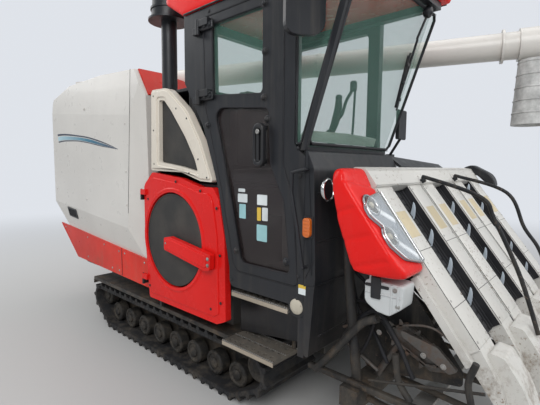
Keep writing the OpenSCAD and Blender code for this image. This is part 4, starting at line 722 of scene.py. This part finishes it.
def door_dress():
    form = Form("door_dots")
    for x, z in DOOR_DOTS:
        form.lathe((x, -SIDE, z), OUT, [(21, -1), (21, 2), (19, 3)], 24)
        form.dome((x, -SIDE - 2, z), OUT, 15, 15, 24)
    form.make(DARK, DOOR)
    # oval pull with its recessed grip and lock
    x, z = PULL_X, PULL_Z
    ring = [rect(x - 38, z - 118, x + 38, z + 112, 36, 8), rect(x - 21, z - 92, x + 21, z + 84, 20, 8)]
    plate("door_pull", ring, 34, 9, on_side(-SIDE - 36), DARK, DOOR, res=3)
    plate("door_pull_back", [rect(x - 24, z - 95, x + 24, z + 88, 20)], 8, 2, on_side(-SIDE - 26),
          "charcoal_sheet", DOOR)
    lock = [(13, -3), (13, 2), (11, 4), (4, 4), (4, 1)]
    Form("door_lock").lathe((x, -SIDE - 52, z + 66), OUT, lock).make(STEEL, DOOR)
    # hinge straps with their bolts
    straps, bolts = Form("hinge_straps"), Form("hinge_bolts")
    for z in HINGE_ZS:
        straps.box((352, -SIDE - 20, z - 22), (470, -SIDE - 2, z + 22), 5)
        straps.tube(at_y(-SIDE - 25, [(342, z - 44), (342, z + 44)]), 15, 16)
        for x in (400, 445):
            bolts.dome((x, -SIDE - 19, z), OUT, 14, 10)
    straps.make(DARK, DOOR)
    bolts.make("charcoal_sheet", DOOR)
    # panes: clear above, smoked below, with blank plates stuck behind the lower one
    for name, rows, ink in (("upper", UPPER_PANE, None), ("lower", LOWER_PANE, "smoked_pane")):
        plate("door_pane_" + name, [inset(rounded(rows), -3)], 5, 1, on_side(-SIDE + 22.5), "cab_glass", DOOR,
              ink=ink, replaced=("door_panes",))
    for k, (*corners, tone) in enumerate(PANE_PLATES):
        plate("pane_plate_%d" % k, [rect(*corners, 5, 3)], 1.5, 0.4, on_side(-SIDE + 18.5), "cream_plastic",
              DOOR, ink="plate_" + tone)
    form = Form("door_seals")
    for rows in (UPPER_PANE, LOWER_PANE):
        form.tube(at_y(-SIDE + 6, rounded(rows, 4)), 7, 6, closed=True)
    form.make("lane_rubber", DOOR)


# Header: cases, lanes, lamps and what hangs under them
HEAD = "header"
LANE_YS = [-465, 110, 685]
CASE_YS = [-655, -275, -80, 300, 495, 875]
CASE_T, CASE_L = 80, 830
TINE_STARTS, TINE_PITCH = [134, 170, 48], 168
# Height out of the lane, rear and front edge, and width of a tine's sections
TINE_RINGS = [(-50, 20, 50, 17), (-34, 7, 35, 16), (-20, -6, 19, 14), (-7, -19, 1, 11), (0, -27, -15, 7)]
LANE_RAILS = [(-80, 10, 14), (-46, 6, 6), (-20, 4, 4), (62, 8, 10), (84, 10, 16)]


def cases():
    faces, seams, patches, screws = (Form("case_" + n) for n in ("faces", "seams", "patches", "screws"))
    for y in CASE_YS:
        # raised face with folded sides on every case
        faces.hull([[on_case(s, y + across, n) for across, n in ((-84, 0), (84, 0), (77, top), (-77, top))]
                    for s, top in ((6, 0.5), (12, 4), (820, 4), (826, 0.5))])
        for s in (360, 640):
            seams.box((s, y - 82, 3.4), (s + 2.5, y + 82, 4.4), 0, CASE)
        for side in (-84, 84):
            seams.tube([on_case(10, y + side, 1), on_case(826, y + side, 1)], 1.6, 5)
        patches.box((148, y - 52, 4), (292, y + 52, 4.9), 0.4, CASE)
        for s in (30, 330, 610, 800):
            for side in (-70, 70):
                screws.dome(on_case(s, y + side, 4), CASE_OUT, 6, 3, 10)
    for y in (-177.5, 397.5):
        seams.box((0, y - 7, -30), (CASE_L + 60, y + 7, -4), 0, CASE)
    faces.make("case_plastic", HEAD)
    seams.make("lane_rubber", HEAD)
    patches.make("case_plastic", HEAD, "blank_patch")
    screws.make(STEEL, HEAD)


def lanes():
    base, tines = Form("lane_beds"), Form("tines")
    bed = -CASE_T + 29
    for y in LANE_YS:
        base.box((1, y - 99, -CASE_T), (CASE_L, y + 99, bed + 1), 0, CASE)
        for off, w, h in LANE_RAILS:
            base.box((4, y + off - w / 2, bed), (CASE_L - 6, y + off + w / 2, bed + 1 + h), 1.5, CASE)
        for s in range(20, CASE_L - 20, 42):
            base.box((s, y + 6, bed), (s + 30, y + 50, bed + 7), 2, CASE)
        for y0, y1 in ((y - 99.4, y - 97), (y + 97, y + 99.4)):
            base.box((4, y0, -CASE_T + 2), (CASE_L - 4, y1, -4), 0, CASE)
    base.make("lane_rubber", HEAD, replaced=("tine_lanes",))
    # fingers that stand out of the lanes, thick at the foot and leaning down to the tip
    for y, start in zip(LANE_YS, TINE_STARTS):
        for s in range(start, CASE_L - 39, TINE_PITCH):
            tines.hull([[on_case(s + a, y + 32 - w / 2, n), on_case(s + b, y + 32 - w / 2, n),
                         on_case(s + b, y + 32 + w / 2, n), on_case(s + a, y + 32 + w / 2, n)]
                        for n, a, b, w in TINE_RINGS])
    tines.make("reservoir_plastic", HEAD, "tine_plastic")


def top_bar_dress():
    form = Form("top_bar_trim")
    for s in (-6, -98):
        form.tube([on_case(s, -742, 15.5), on_case(s, 990, 15.5)], 2.5, 6)
    for y in (-700, -180, 400, 960):
        form.dome(on_case(-52, y, 14), CASE_OUT, 9, 5, 12)
    form.make("case_plastic", HEAD)


LAMP_ROWS = [(30, -752, 0), (36, -790, 20), (55, -905, 50), (95, -968, 40), (150, -972, 40), (207, -925, 10),
             (240, -955, 30), (300, -955, 50), (375, -900, 60), (412, -775, 30), (405, -752, 0)]
BULBS = [(92, -892, 50), (255, -900, 48)]
LAMP_STRIPS = [((122, -866), (182, -780)), ((285, -868), (372, -772))]


def lamps():
    """Silver edge, a dark well with two reflectors, and the clear cover."""
    outline = rounded(LAMP_ROWS, 6)
    rim = [on_case(p.x, p.y, 16) for p in inset(outline, 4)[::2]]
    Form("lamp_edge").tube(rim, 5, 8, closed=True).make("rod_chrome", HEAD, angle=80)
    plate("lamp_well", [inset(outline, 3)], 4, 1, CASE @ on_top(3), "chain_steel", HEAD, ink="lamp_well_grey")
    reflectors, bowls, strips, bulbs = (Form("lamp_" + n) for n in ("reflectors", "bowls", "strips", "bulbs"))
    for s, y, r in BULBS:
        spot = on_case(s, y, 4)
        rim = [(r + d, h) for d, h in ((7, 0), (7, 4), (3, 8), (-1, 8), (-5, 3), (-5, 0))]
        reflectors.lathe(spot, CASE_OUT, rim, 36)
        bowls.lathe(spot, CASE_OUT, [(r - 2, 0), (r - 2, 2.5), (r - 14, 1.6), (8, 1.2)], 36)
        bulbs.dome(spot, CASE_OUT, 17, 11, 20)
    for a, b in LAMP_STRIPS:
        strips.hull([[on_case(s + d, y, n) for (s, y), n in ((a, 5), (b, 5), (b, 5 + h), (a, 5 + h))]
                     for d, h in ((-20, 1), (-13, 5), (2, 7), (15, 5), (20, 1))])
    reflectors.make("rod_chrome", HEAD, "reflector_silver", angle=60)
    bowls.make("rod_chrome", HEAD, "lamp_bowl", angle=60)
    strips.make("rod_chrome", HEAD, "lamp_strip", angle=60)
    bulbs.make("lamp_glass", HEAD, "bulb_glass")
    plate("lamp_cover", [inset(outline, 5)], 6, 2.5, CASE @ on_top(17), "lamp_glass", HEAD,
          replaced=("head_lamp",))


def housing_shape(p):
    """Creases and a hollow round the lamp pressed into the housing."""
    q = CASE.inverted() @ p
    s, y, n = q
    if n > -26:
        for centre, depth, width in ((-6, 5, 14), (14, -2, 10)):
            q.z -= depth * math.exp(-((s - centre - 0.22 * (y + 745)) / width) ** 2)
    else:
        # wavy creases that run down the side wall
        for centre, depth in ((60, 5), (200, 4), (330, 5)):
            q.y += depth * math.exp(-((s - centre - 0.35 * (n + 80)) / 13) ** 2)
    return CASE @ q


RESERVOIR_RIBS = [((1610, 905), (1610, 1036), 5), ((1640, 930), (1640, 1036), 5),
                  ((1485, 985), (1655, 985), 4)]


def reservoir_dress():
    y = -910
    form = Form("reservoir_clip").box((1512, y - 9, 960), (1560, y + 3, 1062), 4)
    form.box((1484, y - 7, 1012), (1598, y + 1, 1026), 3).make(DARK, HEAD)
    form = Form("reservoir_ribs")
    for start, end, r in RESERVOIR_RIBS:
        form.tube(at_y(y - 1, [start, end]), r, 8)
    form.make("reservoir_plastic", HEAD)
    Form("reservoir_bolts").bolts(y - 1, [(1625, 1015), (1640, 945)], 7).make(STEEL, HEAD)


# Points in x and z, y, radius and sides of the bent pipes
BENT_PIPES = [([(1170, 470), (1260, 577), (1350, 690), (1440, 800), (1520, 845)], -850, 20, 20),
              ([(1926, 484), (1937, 580), (1920, 680), (1945, 775)], -850, 14, 14),
              ([(1600, 690), (1620, 570), (1680, 490)], -826, 16, 14),
              ([(1476, 523), (1980, 657)], -838, 7, 10)]
# The same of the hoses at the right, all of ten sides
HOSES = [([(1243, 562), (1295, 681), (1448, 838), (1560, 740), (1658, 561)], -752, 11),
         ([(1290, 940), (1330, 800), (1420, 700), (1500, 560)], -690, 10),
         ([(1275, 820), (1380, 860), (1480, 780), (1600, 640)], -716, 8),
         ([(1300, 1030), (1420, 930), (1450, 820), (1400, 640), (1320, 520)], -730, 9)]
CASE_HOSES = [(-177, [(1757, 1393), (1831, 1275), (1960, 1002)]),
              (397, [(1765, 1392), (1873, 1178), (1971, 1022)])]


def header_pipe_runs():
    """The header's pipes with smooth bends, in the places of the CAD rods."""
    form = Form("header_pipe_runs")
    rail = on_case(-78, 0, -121)
    form.tube([(rail.x, -835, rail.z), (rail.x, 1055, rail.z)], 25, 24)
    for y in (-805, 1025):
        form.tube([(1400, y, 420), (rail.x, y, rail.z)], 25, 24)
    form.box((1130, -866, 470.5), (1945, -834, 498), 3)
    for rows, y, r, seg in BENT_PIPES:
        form.tube(curve_through(at_y(y, rows), 8), r, seg)
    for ends in ([(1400, 1134, 420), (2100, 1134, 420)], [(1400, 1105, 420), (1400, 1150, 420)]):
        form.tube(ends, 16, 14)
    for y, rows in CASE_HOSES:
        line = [on_case(-12, y, 38), on_case(-12, y, 52)] + at_y(y, rows) + [on_case(965, y, 59)]
        form.tube(curve_through(line, 10), 11, 14)
        form.lathe(on_case(-12, y, 14.5), CASE_OUT, [(15, 0), (15, 21), (12, 24)])
    form.make("frame_paint", HEAD, angle=60, replaced=("header_pipes",))


CHAIN_LOOP = [(1478, 737, 30), (1700, 628, 30), (1784, 644, 30), (1722, 712, 30), (1592, 790, 30)]
# Outline of the dark sheets that partly stand in for the shade under the cases
SHADE_SHEET = [(1352, 472, 0), (1275, 600, 20), (1300, 850, 60), (1420, 1075, 40), (1480, 1090, 20),
               (1840, 610, 20), (1840, 540, 20), (1448, 472, 0)]


def under_cases():
    """Chains, hoses and curved rods behind and under the cases."""
    chain = Form("feed_chains")
    for base in (-700, -125, 450):
        for k, (p, t, out, a, b, link) in enumerate(links(rounded(CHAIN_LOOP), 26, 15, 7)):
            y0, tip = base - (16 if k % 2 else 12), p + out * 34
            chain.slab(y0, y0 + 5, link)
            if k % 3 == 0:
                chain.slab(y0, y0 + 4, (a, b, tip + t * 5, tip - t * 2))
    chain.make("chain_steel", HEAD)
    # dark sheets behind the right conveyor, and one on the left, partly painted shade: they fill the gaps
    # among the parts there, which lie in shade
    for side, y in (("right", -626), ("left", 905)):
        plate("shade_sheet_" + side, [rounded(SHADE_SHEET)], 6, 1.5, on_side(y), "frame_paint", HEAD)
    form = Form("header_hoses")
    for rows, y, r in HOSES:
        form.tube(curve_through(at_y(y, rows), 8), r)
    form.make("lane_rubber", HEAD)
    bent = at_y(-744, ((1596, 803), (1697, 828), (1760, 821), (1821, 785), (1880, 748)))
    form = Form("header_rods").tube(curve_through(bent), 6, 8)
    form.tube([(1270, -740, 700), (1500, -740, 820)], 8, 8)
    form.tube([(1262, -722, 620), (1466, -722, 520)], 10, 8).make("chain_steel", HEAD)
    form = Form("header_bolts").bolts(-835, [(1400, 420)], 9)
    form.bolts(-751, [(1480, 735), (1700, 690), (1790, 668)], 9).make(STEEL, HEAD)


# Cab: seals, trim, seat and controls
SCREEN_FOOT, SCREEN_HEAD = (1140, 1650), (1425, 2458)
SCREEN_CORNERS = [(-925, 1664), (-52, 1664), (-52, 2446), (-925, 2446)]
QUARTER_SEAL = [(1098, 1664, 10), (1126, 1664, 10), (1395, 2440, 10), (1098, 2440, 10)]
DOOR_SEAL = [(361, 2444, 34), (1016, 2444, 34), (1016, 1561, 60), (1089, 1381, 60), (1122, 931, 20),
             (645, 931, 60), (531, 1405, 200), (384, 1900, 200)]
CAB_BOLTS = [(1112, 1640), (1130, 1500), (1128, 1170), (1128, 990), (1122, 870), (620, 870), (1060, 2470),
             (420, 2470)]


def on_screen(y, z, off=0):
    """A point on the windscreen's outer face."""
    (x0, z0), (x1, z1) = SCREEN_FOOT, SCREEN_HEAD
    run = (x1 - x0) / (z1 - z0)
    return Vector((x0 + 6 + (z - z0) * run, y, z)) + Vector((1, 0, -run)).normalized() * off


def cab_trim():
    line = []
    for (y0, z0), (y1, z1) in zip(SCREEN_CORNERS, SCREEN_CORNERS[1:] + SCREEN_CORNERS[:1]):
        line += [on_screen(y0 + (y1 - y0) * t, z0 + (z1 - z0) * t, 1) for t in (0.03, 0.5, 0.97)]
    Form("screen_seal").tube(line, 9, 8, closed=True).make("lane_rubber")
    form = Form("roof_gutter")
    for y in (-962, -33):
        form.tube(at_y(y, [(175, 2506), (1480, 2506)]), 6, 8)
    form.make(DARK)
    form = Form("frame_seals").tube(at_y(-SIDE + 7, rounded(QUARTER_SEAL, 3)), 6, 6, closed=True)
    form.tube(at_y(-SIDE + 1, rounded(DOOR_SEAL)), 3.2, 6, closed=True).make("lane_rubber")
    Form("cab_bolts").bolts(-SIDE, CAB_BOLTS, 7).make(DARK)


def wiper_dress():
    a, b = on_screen(-236, 2215, 16), on_screen(-158, 1905, 16)
    side, lean = Vector((0, 10, 0)), (1, 0, -0.35)
    form = Form("wiper_blade").tube([a, b], 5, 8).strip([a, b], [a + side, b + side], 3, lean)
    for t in (0.2, 0.5, 0.8):
        p = a.lerp(b, t)
        form.box(p - Vector((8, 10, 10)), p + Vector((10, 10, 10)), 3)
    form.make(DARK)
    cap = [(30, -14), (32, 6), (28, 14), (12, 20), (6, 26)]
    Form("wiper_motor_cap").lathe(on_screen(-200, 2432, 20), lean, cap, 24).make(DARK)


# Low and high corner, swell of the face in mm, and the face's axis, of each pad
PADS = [("seat_cushion", (366, -734, 1450), (796, -286, 1536), 14, 2),
        ("seat_back", (336, -724, 1548), (426, -296, 1930), 12, 0),
        ("seat_head_rest", (340, -640, 1940), (420, -380, 2054), 8, 0)]
PAD_PULL, CHANNELS, CHANNEL_DEPTH, CHANNEL_WIDTH = 0.0375, (-0.34, 0.34), 0.10, 0.05


def pad(name, low, high, crown, face):
    """A crowned closed form, with its sides pulled in between the corners and two sewn channels."""
    bm = bmesh.new()
    bmesh.ops.create_cube(bm, size=1)
    bmesh.ops.subdivide_edges(bm, edges=bm.edges, cuts=5, use_grid_fill=True)
    mid = [(a + b) / 2 for a, b in zip(low, high)]
    half = [(b - a) / 2 for a, b in zip(low, high)]
    for v in bm.verts:
        t = [2 * c for c in v.co]
        for k in range(3):
            i, j = [m for m in range(3) if m != k]
            if abs(t[k]) > 0.99:
                bow = (1 - t[i] ** 2) * (1 - t[j] ** 2)
                edge = max(abs(t[i]), abs(t[j]))
                t[k] *= 1 - PAD_PULL * edge ** 4 if k == face else 1 - 0.05 * (1 - t[i] ** 2)
                if k == face and t[k] > 0:
                    t[k] += crown / half[k] * (bow - 0.45)
        for channel in CHANNELS:
            if t[face] > 0.5:
                t[face] -= CHANNEL_DEPTH * math.exp(-((t[1] - channel) / CHANNEL_WIDTH) ** 2)
        v.co = [m + h * c for m, h, c in zip(mid, half, t)]
    mesh = bpy.data.meshes.new(name)
    bm.to_mesh(mesh)
    bm.free()
    mesh.transform(Matrix.Scale(MM, 4))
    mesh = applied(name + "_raw", mesh, ("SUBSURF", {"levels": 2}))
    piece(name, mesh, "seat_cover", "chassis", angle=80, replaced=("seat",))


def seat_pads():
    for row in PADS:
        pad(*row)
    form = Form("seat_base").box((380, -700, 1431), (770, -320, 1452), 6)
    for y in (-560, -460):
        form.tube(at_y(y, [(372, 1900), (368, 1960)]), 7)
    form.box((345, -700, 1500), (372, -320, 1600), 8).make(DARK)
    form = Form("seat_welts")
    for y, bow in ((-733, -4), (-287, 4)):
        form.tube(curve_through([(380, y, 1500), (520, y + bow, 1504), (780, y, 1500)]), 3, 6)
    form.make("seat_cover")


KNOB = [(10, -22), (17, -14), (22, 4), (19, 20), (8, 27)]


def controls():
    form = Form("steering_lever")
    grip = curve_through(at_y(-520, [(1012, 1745), (1040, 1800), (1062, 1880), (1066, 1950)]))
    form.tube(grip, [17 + 7 * math.sin(math.pi * k / (len(grip) - 1)) for k in range(len(grip))], 14)
    form.dome((1066, -520, 1946), UP, 20, 22)
    stalk = [(1045, -520, 1815), (1085, -515, 1850), (1110, -512, 1925), (1150, -508, 1990)]
    form.tube(curve_through(stalk), 9)
    form.box((1136, -524, 1975), (1172, -492, 2035), 8)
    form.lathe((1011, -520, 1735), (0.1, 0, 1), [(34, -10), (36, 6), (28, 22), (18, 34)], 24)
    form.tube([(1098, -430, 1560), (1110, -428, 1800), (1118, -426, 2040)], 7).make(DARK)
    # sill at the windscreen's foot with a pale pad behind it
    sill = [(1070, 1600), (1132, 1600), (1134, 1650), (1136, 1668), (1070, 1668)]
    Form("screen_sill").slab(-928, -50, sill).make(DARK)
    tops = [(y, 1722 - abs(y + 500) * 0.02) for y in (-905, -700, -500, -330, -190)]
    rings = [[on_screen(y, z, -off) for z, off in ((1668, 30), (top, 32), (top, 60), (1668, 80))]
             for y, top in tops]
    Form("sill_pad").hull(rings).make("seat_cover", ink="dash_pale")
    form = Form("control_knobs")
    for x, z in ((803, 1712), (903, 1672)):
        form.lathe((x, -185, z), (0.15, 0, 1), KNOB)
    for x in (600, 660, 720):
        form.lathe((x, -185, 1481), UP, [(16, 0), (16, 10), (12, 15)], 16)
    form.make("lane_rubber")
    Form("dash_panel").box((1000, -650, 1560), (1094, -390, 1640), 14).make(DARK)


def cowl_dress():
    y = -SIDE - 1.2
    fold = at_y(y, [(1178, 1604), (1190, 1430), (1204, 1250), (1210, 1010)])
    form = Form("cowl_folds").tube(curve_through(fold), 2.6, 6)
    form.tube(at_y(y, [(1164, 948), (1226, 962)]), 2.6, 6)
    form.tube(at_y(y, [(1168, 985), (1224, 1090)]), 2.2, 6).make("charcoal_sheet")
    # low ribs across the wide front panel, which leans
    form = Form("cowl_front_ribs")
    for z in (1420, 1180, 960, 700):
        x = 1232 - (z - 1000) * 0.03
        form.tube([(x, -930, z), (x, -60, z)], 4, 6)
    form.make(DARK)
    cap = [(40, -12), (42, 0), (40, 10), (31, 18), (16, 22), (5, 23)]
    Form("filler_cap").lathe((1118, -SIDE + 6, 828), OUT, cap, 28).make("cream_sheet", ink="cap_plastic")
    Form("filler_cap_ring").lathe((1118, -SIDE + 8, 826), OUT, [(57, -10), (57, 4), (50, 7)], 28).make(DARK)
    form = Form("indicator_ribs")
    for z in range(1216, 1285, 17):
        form.tube(at_y(-SIDE - 22.5, [(1172, z), (1204, z)]), 2.2, 6)
    form.make("orange_lens")
    Form("indicator_base").box((1160, -SIDE - 5, 1195), (1216, -SIDE - 0.5, 1305), 2).make(DARK)
    # a small blank plate, yellow above and white below
    for name, z0, z1, ink in (("upper", 932, 950, "plate_yellow"), ("lower", 900, 932, "plate_white")):
        plate("cowl_plate_" + name, [rect(1130, z0, 1176, z1, 2, 2)], 1.4, 0.4, on_side(-SIDE - 1),
              "cream_plastic", ink=ink)


def mirrors():
    """Small round mirror behind the lamp housing, in a bright ring, and the pane of the large one."""
    c, axis = (1268, -915, 1438), (1, 0.12, 0.05)
    ring = [(54, -8), (58, 0), (56, 8), (50, 10), (48, 6), (48, 2)]
    Form("round_mirror_ring").lathe(c, axis, ring, 36).make("rod_chrome", angle=60)
    Form("round_mirror_back").lathe(c, axis, [(30, -22), (54, -6), (52, 4)], 36).make(DARK, angle=60)
    place = Matrix.Translation((1190, -1150, 0)) @ Matrix.Rotation(math.radians(65.2), 4, "Z")
    face = place @ Matrix(((1, 0, 0, 0), (0, 0, 1, 30), (0, 1, 0, 0), (0, 0, 0, 1)))
    rows = [(12, 2142, 40), (188, 2157, 58), (188, 2478, 22), (12, 2478, 22)]
    plate("mirror_pane", [rounded(rows)], 3, 1, face, "rod_chrome")


# Undercarriage, steps, auger, left side and back
TRACK_MID, TRACK_EDGE, RIM_YS = 605, 851, (770, 440)
WHEELS = [(-1405, 262, 85), (-1215, 143, 88), (475, 143, 88), (670, 262, 100)]
ROLLER_HUB = [(38, -2), (36, 12), (28, 17), (11, 17)]
ROLLERS = [(-1215 + i * 1690 / 7, 143, 88) for i in range(8)] + [WHEELS[0], WHEELS[3]]
DECK = [(-2230, -635, 12), (-1450, -635, 12), (-1450, -895, 12), (520, -895, 12), (520, -725, 12),
        (640, -725, 12), (640, 895, 12), (-2230, 895, 12)]
# Rear, front, outer and inner edge and height of the two steps
STEPS = [(620, 1060, -955, -775, 800), (530, 960, -955, -725.3, 466)]


def belt_path(out, steps=10):
    """Points with outward directions round the wheels, out from the belt's inner face."""
    def tangent(i):
        (ax, az, ar), (bx, bz, br) = WHEELS[i % 4], WHEELS[(i + 1) % 4]
        return math.atan2(bz - az, bx - ax) - math.acos((ar - br) / math.hypot(bx - ax, bz - az))
    pts = []
    for i, (x, z, r) in enumerate(WHEELS):
        a0 = tangent(i - 1)
        turn = (tangent(i) - a0) % (2 * math.pi)
        for k in range(steps + 1):
            t = a0 + turn * k / steps
            d = Vector((math.cos(t), math.sin(t)))
            pts.append((Vector((x, z)) + d * (r + out), d))
    return pts


def track_dress():
    inner, edge = even(belt_path(0), 92), even(belt_path(14), 46)
    for tag, side in (("right", -1), ("left", 1)):
        # roller rims in the rollers' darkened colour, which includes painted shade on the recessed faces
        form = Form("roller_rims_" + tag)
        for x, z, r in ROLLERS:
            rim = [(r + d, h) for d, h in ((-5, -6), (-5, 2), (-10, 7), (-22, 7), (-28, -1))] + ROLLER_HUB
            for y, way in zip(RIM_YS, (side, -side)):
                form.lathe((x, side * y, z), (0, way, 0), rim, 26)
        form.make("roller_iron", angle=40)
        form = Form("guide_lugs_" + tag)
        for p, d, t in inner:
            a, b, y = p + t * 26, p - t * 26, side * TRACK_MID
            form.hull([[(q.x - d.x * h, y + w, q.y - d.y * h) for q, w in ((a, -v), (b, -v), (b, v), (a, v))]
                       for h, v in ((-2, 30), (26, 22), (34, 14))])
        form.make("track_rubber")
        form = Form("belt_edge_" + tag)
        ys = sorted((side * TRACK_EDGE, side * (TRACK_EDGE + 6)))
        for p, d, t in edge:
            a, b = p + t * 16, p - t * 16
            form.slab(*ys, (a - d * 9, b - d * 9, b + d * 9, a + d * 9))
        form.make("track_rubber")


def deck_dress():
    """The deck, with its rear right corner cut back to the chassis rail."""
    plate("deck_plate", [rounded(DECK, 3)], 30, 3, on_top(455), "frame_paint", replaced=("deck",))
    Form("deck_fold").box((-1452, -893, 405), (-1446, -640, 442), 1).make("frame_paint")


def step_dress():
    form = Form("step_teeth")
    for x0, x1, y0, y1, z in STEPS:
        n = int((x1 - x0) / 15)
        for y in (y0 + 3, (y0 + y1) / 2, y1 - 4):
            for k in range(n):
                a = x0 + (x1 - x0) * k / n
                form.slab(y - 3, y + 3, ((a, z), (a + 12, z), (a + 6, z + 8)))
    form.make(STEEL, angle=20)
    form = Form("step_lips")
    for x0, x1, z in ((531, 959, 464), (621, 1059, 798)):
        form.box((x0, -957, z - 26), (x1, -954.5, z - 1), 1)
    form.make(STEEL, ink="step_lip")
    form = Form("step_brackets")
    for x in (560, 930):
        form.tube([(x, -735, 452), (x, -735, 560), (x, -760, 640)], 12)
    form.make("frame_paint")


# The post's axis, and the tube's root height and direction
POST, AUGER_ROOT_Z, AUGER_YAW = (-2325, -500), 2420, math.radians(18)


def auger_dress():
    base = Matrix.Translation((*POST, AUGER_ROOT_Z)) @ Matrix.Rotation(AUGER_YAW, 4, "Z")
    turn = base.to_3x3()
    form = Form("auger_bands")
    for x, r, w in ((420, 96, 14), (1500, 96, 14), (2760, 96, 14), (4130, 114, 8), (4452, 114, 8)):
        rows = [(r, -w), (r + 3.5, -w), (r + 3.5, w), (r, w)]
        form.lathe(base @ Vector((x, 0, 0)), turn @ Vector((1, 0, 0)), rows, 40)
    form.make("cream_sheet", "auger", angle=60)
    form = Form("auger_band_bolts")
    for x in (1500, 2760):
        for c, s in turn_points(8):
            form.bolt(base @ Vector((x, 99 * c, 99 * s)), turn @ Vector((0, c, s)), 6)
    form.make(STEEL, "auger")
    form = Form("auger_line").tube([base @ Vector((x, 60, 84)) for x in (300, 1500, 2760, 4100)], 9, 8)
    for x in range(400, 4100, 450):
        form.box((x - 12, 46, 70), (x + 12, 74, 95), 3, base)
    form.make(DARK, "auger")
    form = Form("spout_ribs")
    for k in range(5):
        r = 106.5 + 25 * (k * 88 + 15) / 450
        rows = [(r - 3, -7), (r + 2.5, -4), (r + 2.5, 4), (r - 3, 7)]
        form.lathe(base @ Vector((4340, 0, -130 - 88 * k)), UP, rows, 40)
    form.make("spout_rubber", "auger", angle=60)


CHAIN_RUN = [(-1952, 1092, 60), (302, 1022, 60), (341, 1141, 60), (201, 1211, 60), (-1952, 1211, 60)]


def left_dress():
    form = Form("side_cover_ribs")
    for z in (1300, 1420, 1540):
        form.tube(at_y(952.5, [(-1850, z), (10, z)]), 6, 8)
    form.make("red_sheet", "thresh_door")
    form = Form("side_cover_fittings")
    for x in (-1500, -400):
        form.tube([(x - 70, 950, 1262), (x - 70, 985, 1262), (x + 70, 985, 1262), (x + 70, 950, 1262)], 8)
    spots = [(x, z) for x in (-1840, -1200, -620, 0) for z in (1245, 1640)]
    form.bolts(952, spots, 7, LEFT).make(DARK, "thresh_door")
    form = Form("thresh_seams")
    for x in (-1400, -700):
        form.box((x - 3, 898, 490), (x + 3, 902, 1070))
    form.tube([(-1990, 901, 1060), (220, 901, 1000)], 5, 6).make("cream_sheet")
    form = Form("thresh_louvres")
    for x0 in (-1850, -1250, -560):
        for z in range(620, 873, 42):
            form.hull([[(x, y, z + up) for y, up in ((899, 0), (913, -10), (913, -6), (899, 14))]
                       for x in (x0, x0 + 330)])
    form.make("cream_sheet", angle=20)
    chain = Form("feed_chain_links")
    for k, (p, t, out, a, b, link) in enumerate(links(rounded(CHAIN_RUN, 6), 40, 23, 10)):
        y, tip = 1012 if k % 2 else 1020, p + out * 30
        chain.slab(y, y + 6, link)
        if k % 2:
            chain.slab(y + 6, y + 10, (a, b, tip + t * 6, tip - t * 6))
    chain.make("chain_steel")
    Form("chain_guard_bolts").bolts(1060, [(-1800, 1135), (-900, 1135), (0, 1135)], 9, LEFT).make(STEEL)


def back_dress():
    form = Form("cutter_seams")
    for y in (300, 550, 800):
        form.tube(at_y(y, [(-2447.5, 640), (-2447.5, 1080), (-2341, 1368)]), 2.2, 6)
    form.make("red_sheet")
    form = Form("cutter_fittings")
    for y in (200, 900):
        form.box((-2449, y - 30, 1100), (-2430, y + 30, 1140), 4)
        form.bolt((-2445, y, 700), (-1, 0, 0), 8)
    form.tube([(-2392, 470, 1230), (-2411, 480, 1237), (-2411, 620, 1237), (-2392, 630, 1230)], 6).make(DARK)
    form = Form("post_collars")
    for z in (520, 1188, 1290, 1868, 1968):
        form.lathe((*POST, z), UP, [(86, -8), (92, -8), (92, 8), (86, 8)], 40)
    form.make("cream_sheet")


make_camera()
make_stage()
slot_of = {row["node"]: row["material_slot"] for row in frame["record"]["subparts"]}
for name, o in nodes.items():
    o.data.materials.clear()
    o.data.materials.append(MATS["step_plate" if name == "steps" else slot_of[name]])
for dress in (stripe, tank_dress, cover_dress, grille_dress, door_dress, cases, lanes, top_bar_dress, lamps,
              reservoir_dress, under_cases, header_pipe_runs, cab_trim, wiper_dress, seat_pads, controls,
              cowl_dress, mirrors, track_dress, deck_dress, step_dress, auger_dress, left_dress, back_dress):
    dress()
softened("lamp_housing_shell", "lamp_housing", 7, 60, "red_plastic", HEAD, housing_shape)
softened("cab_roof_shell", "cab_roof", 12, 6, "red_plastic", "chassis")
softened("reservoir_shell", "reservoir", 4, 6, "reservoir_plastic", HEAD)
softened("visor_shell", "visor", 5, 8, "charcoal_plastic", HEAD)
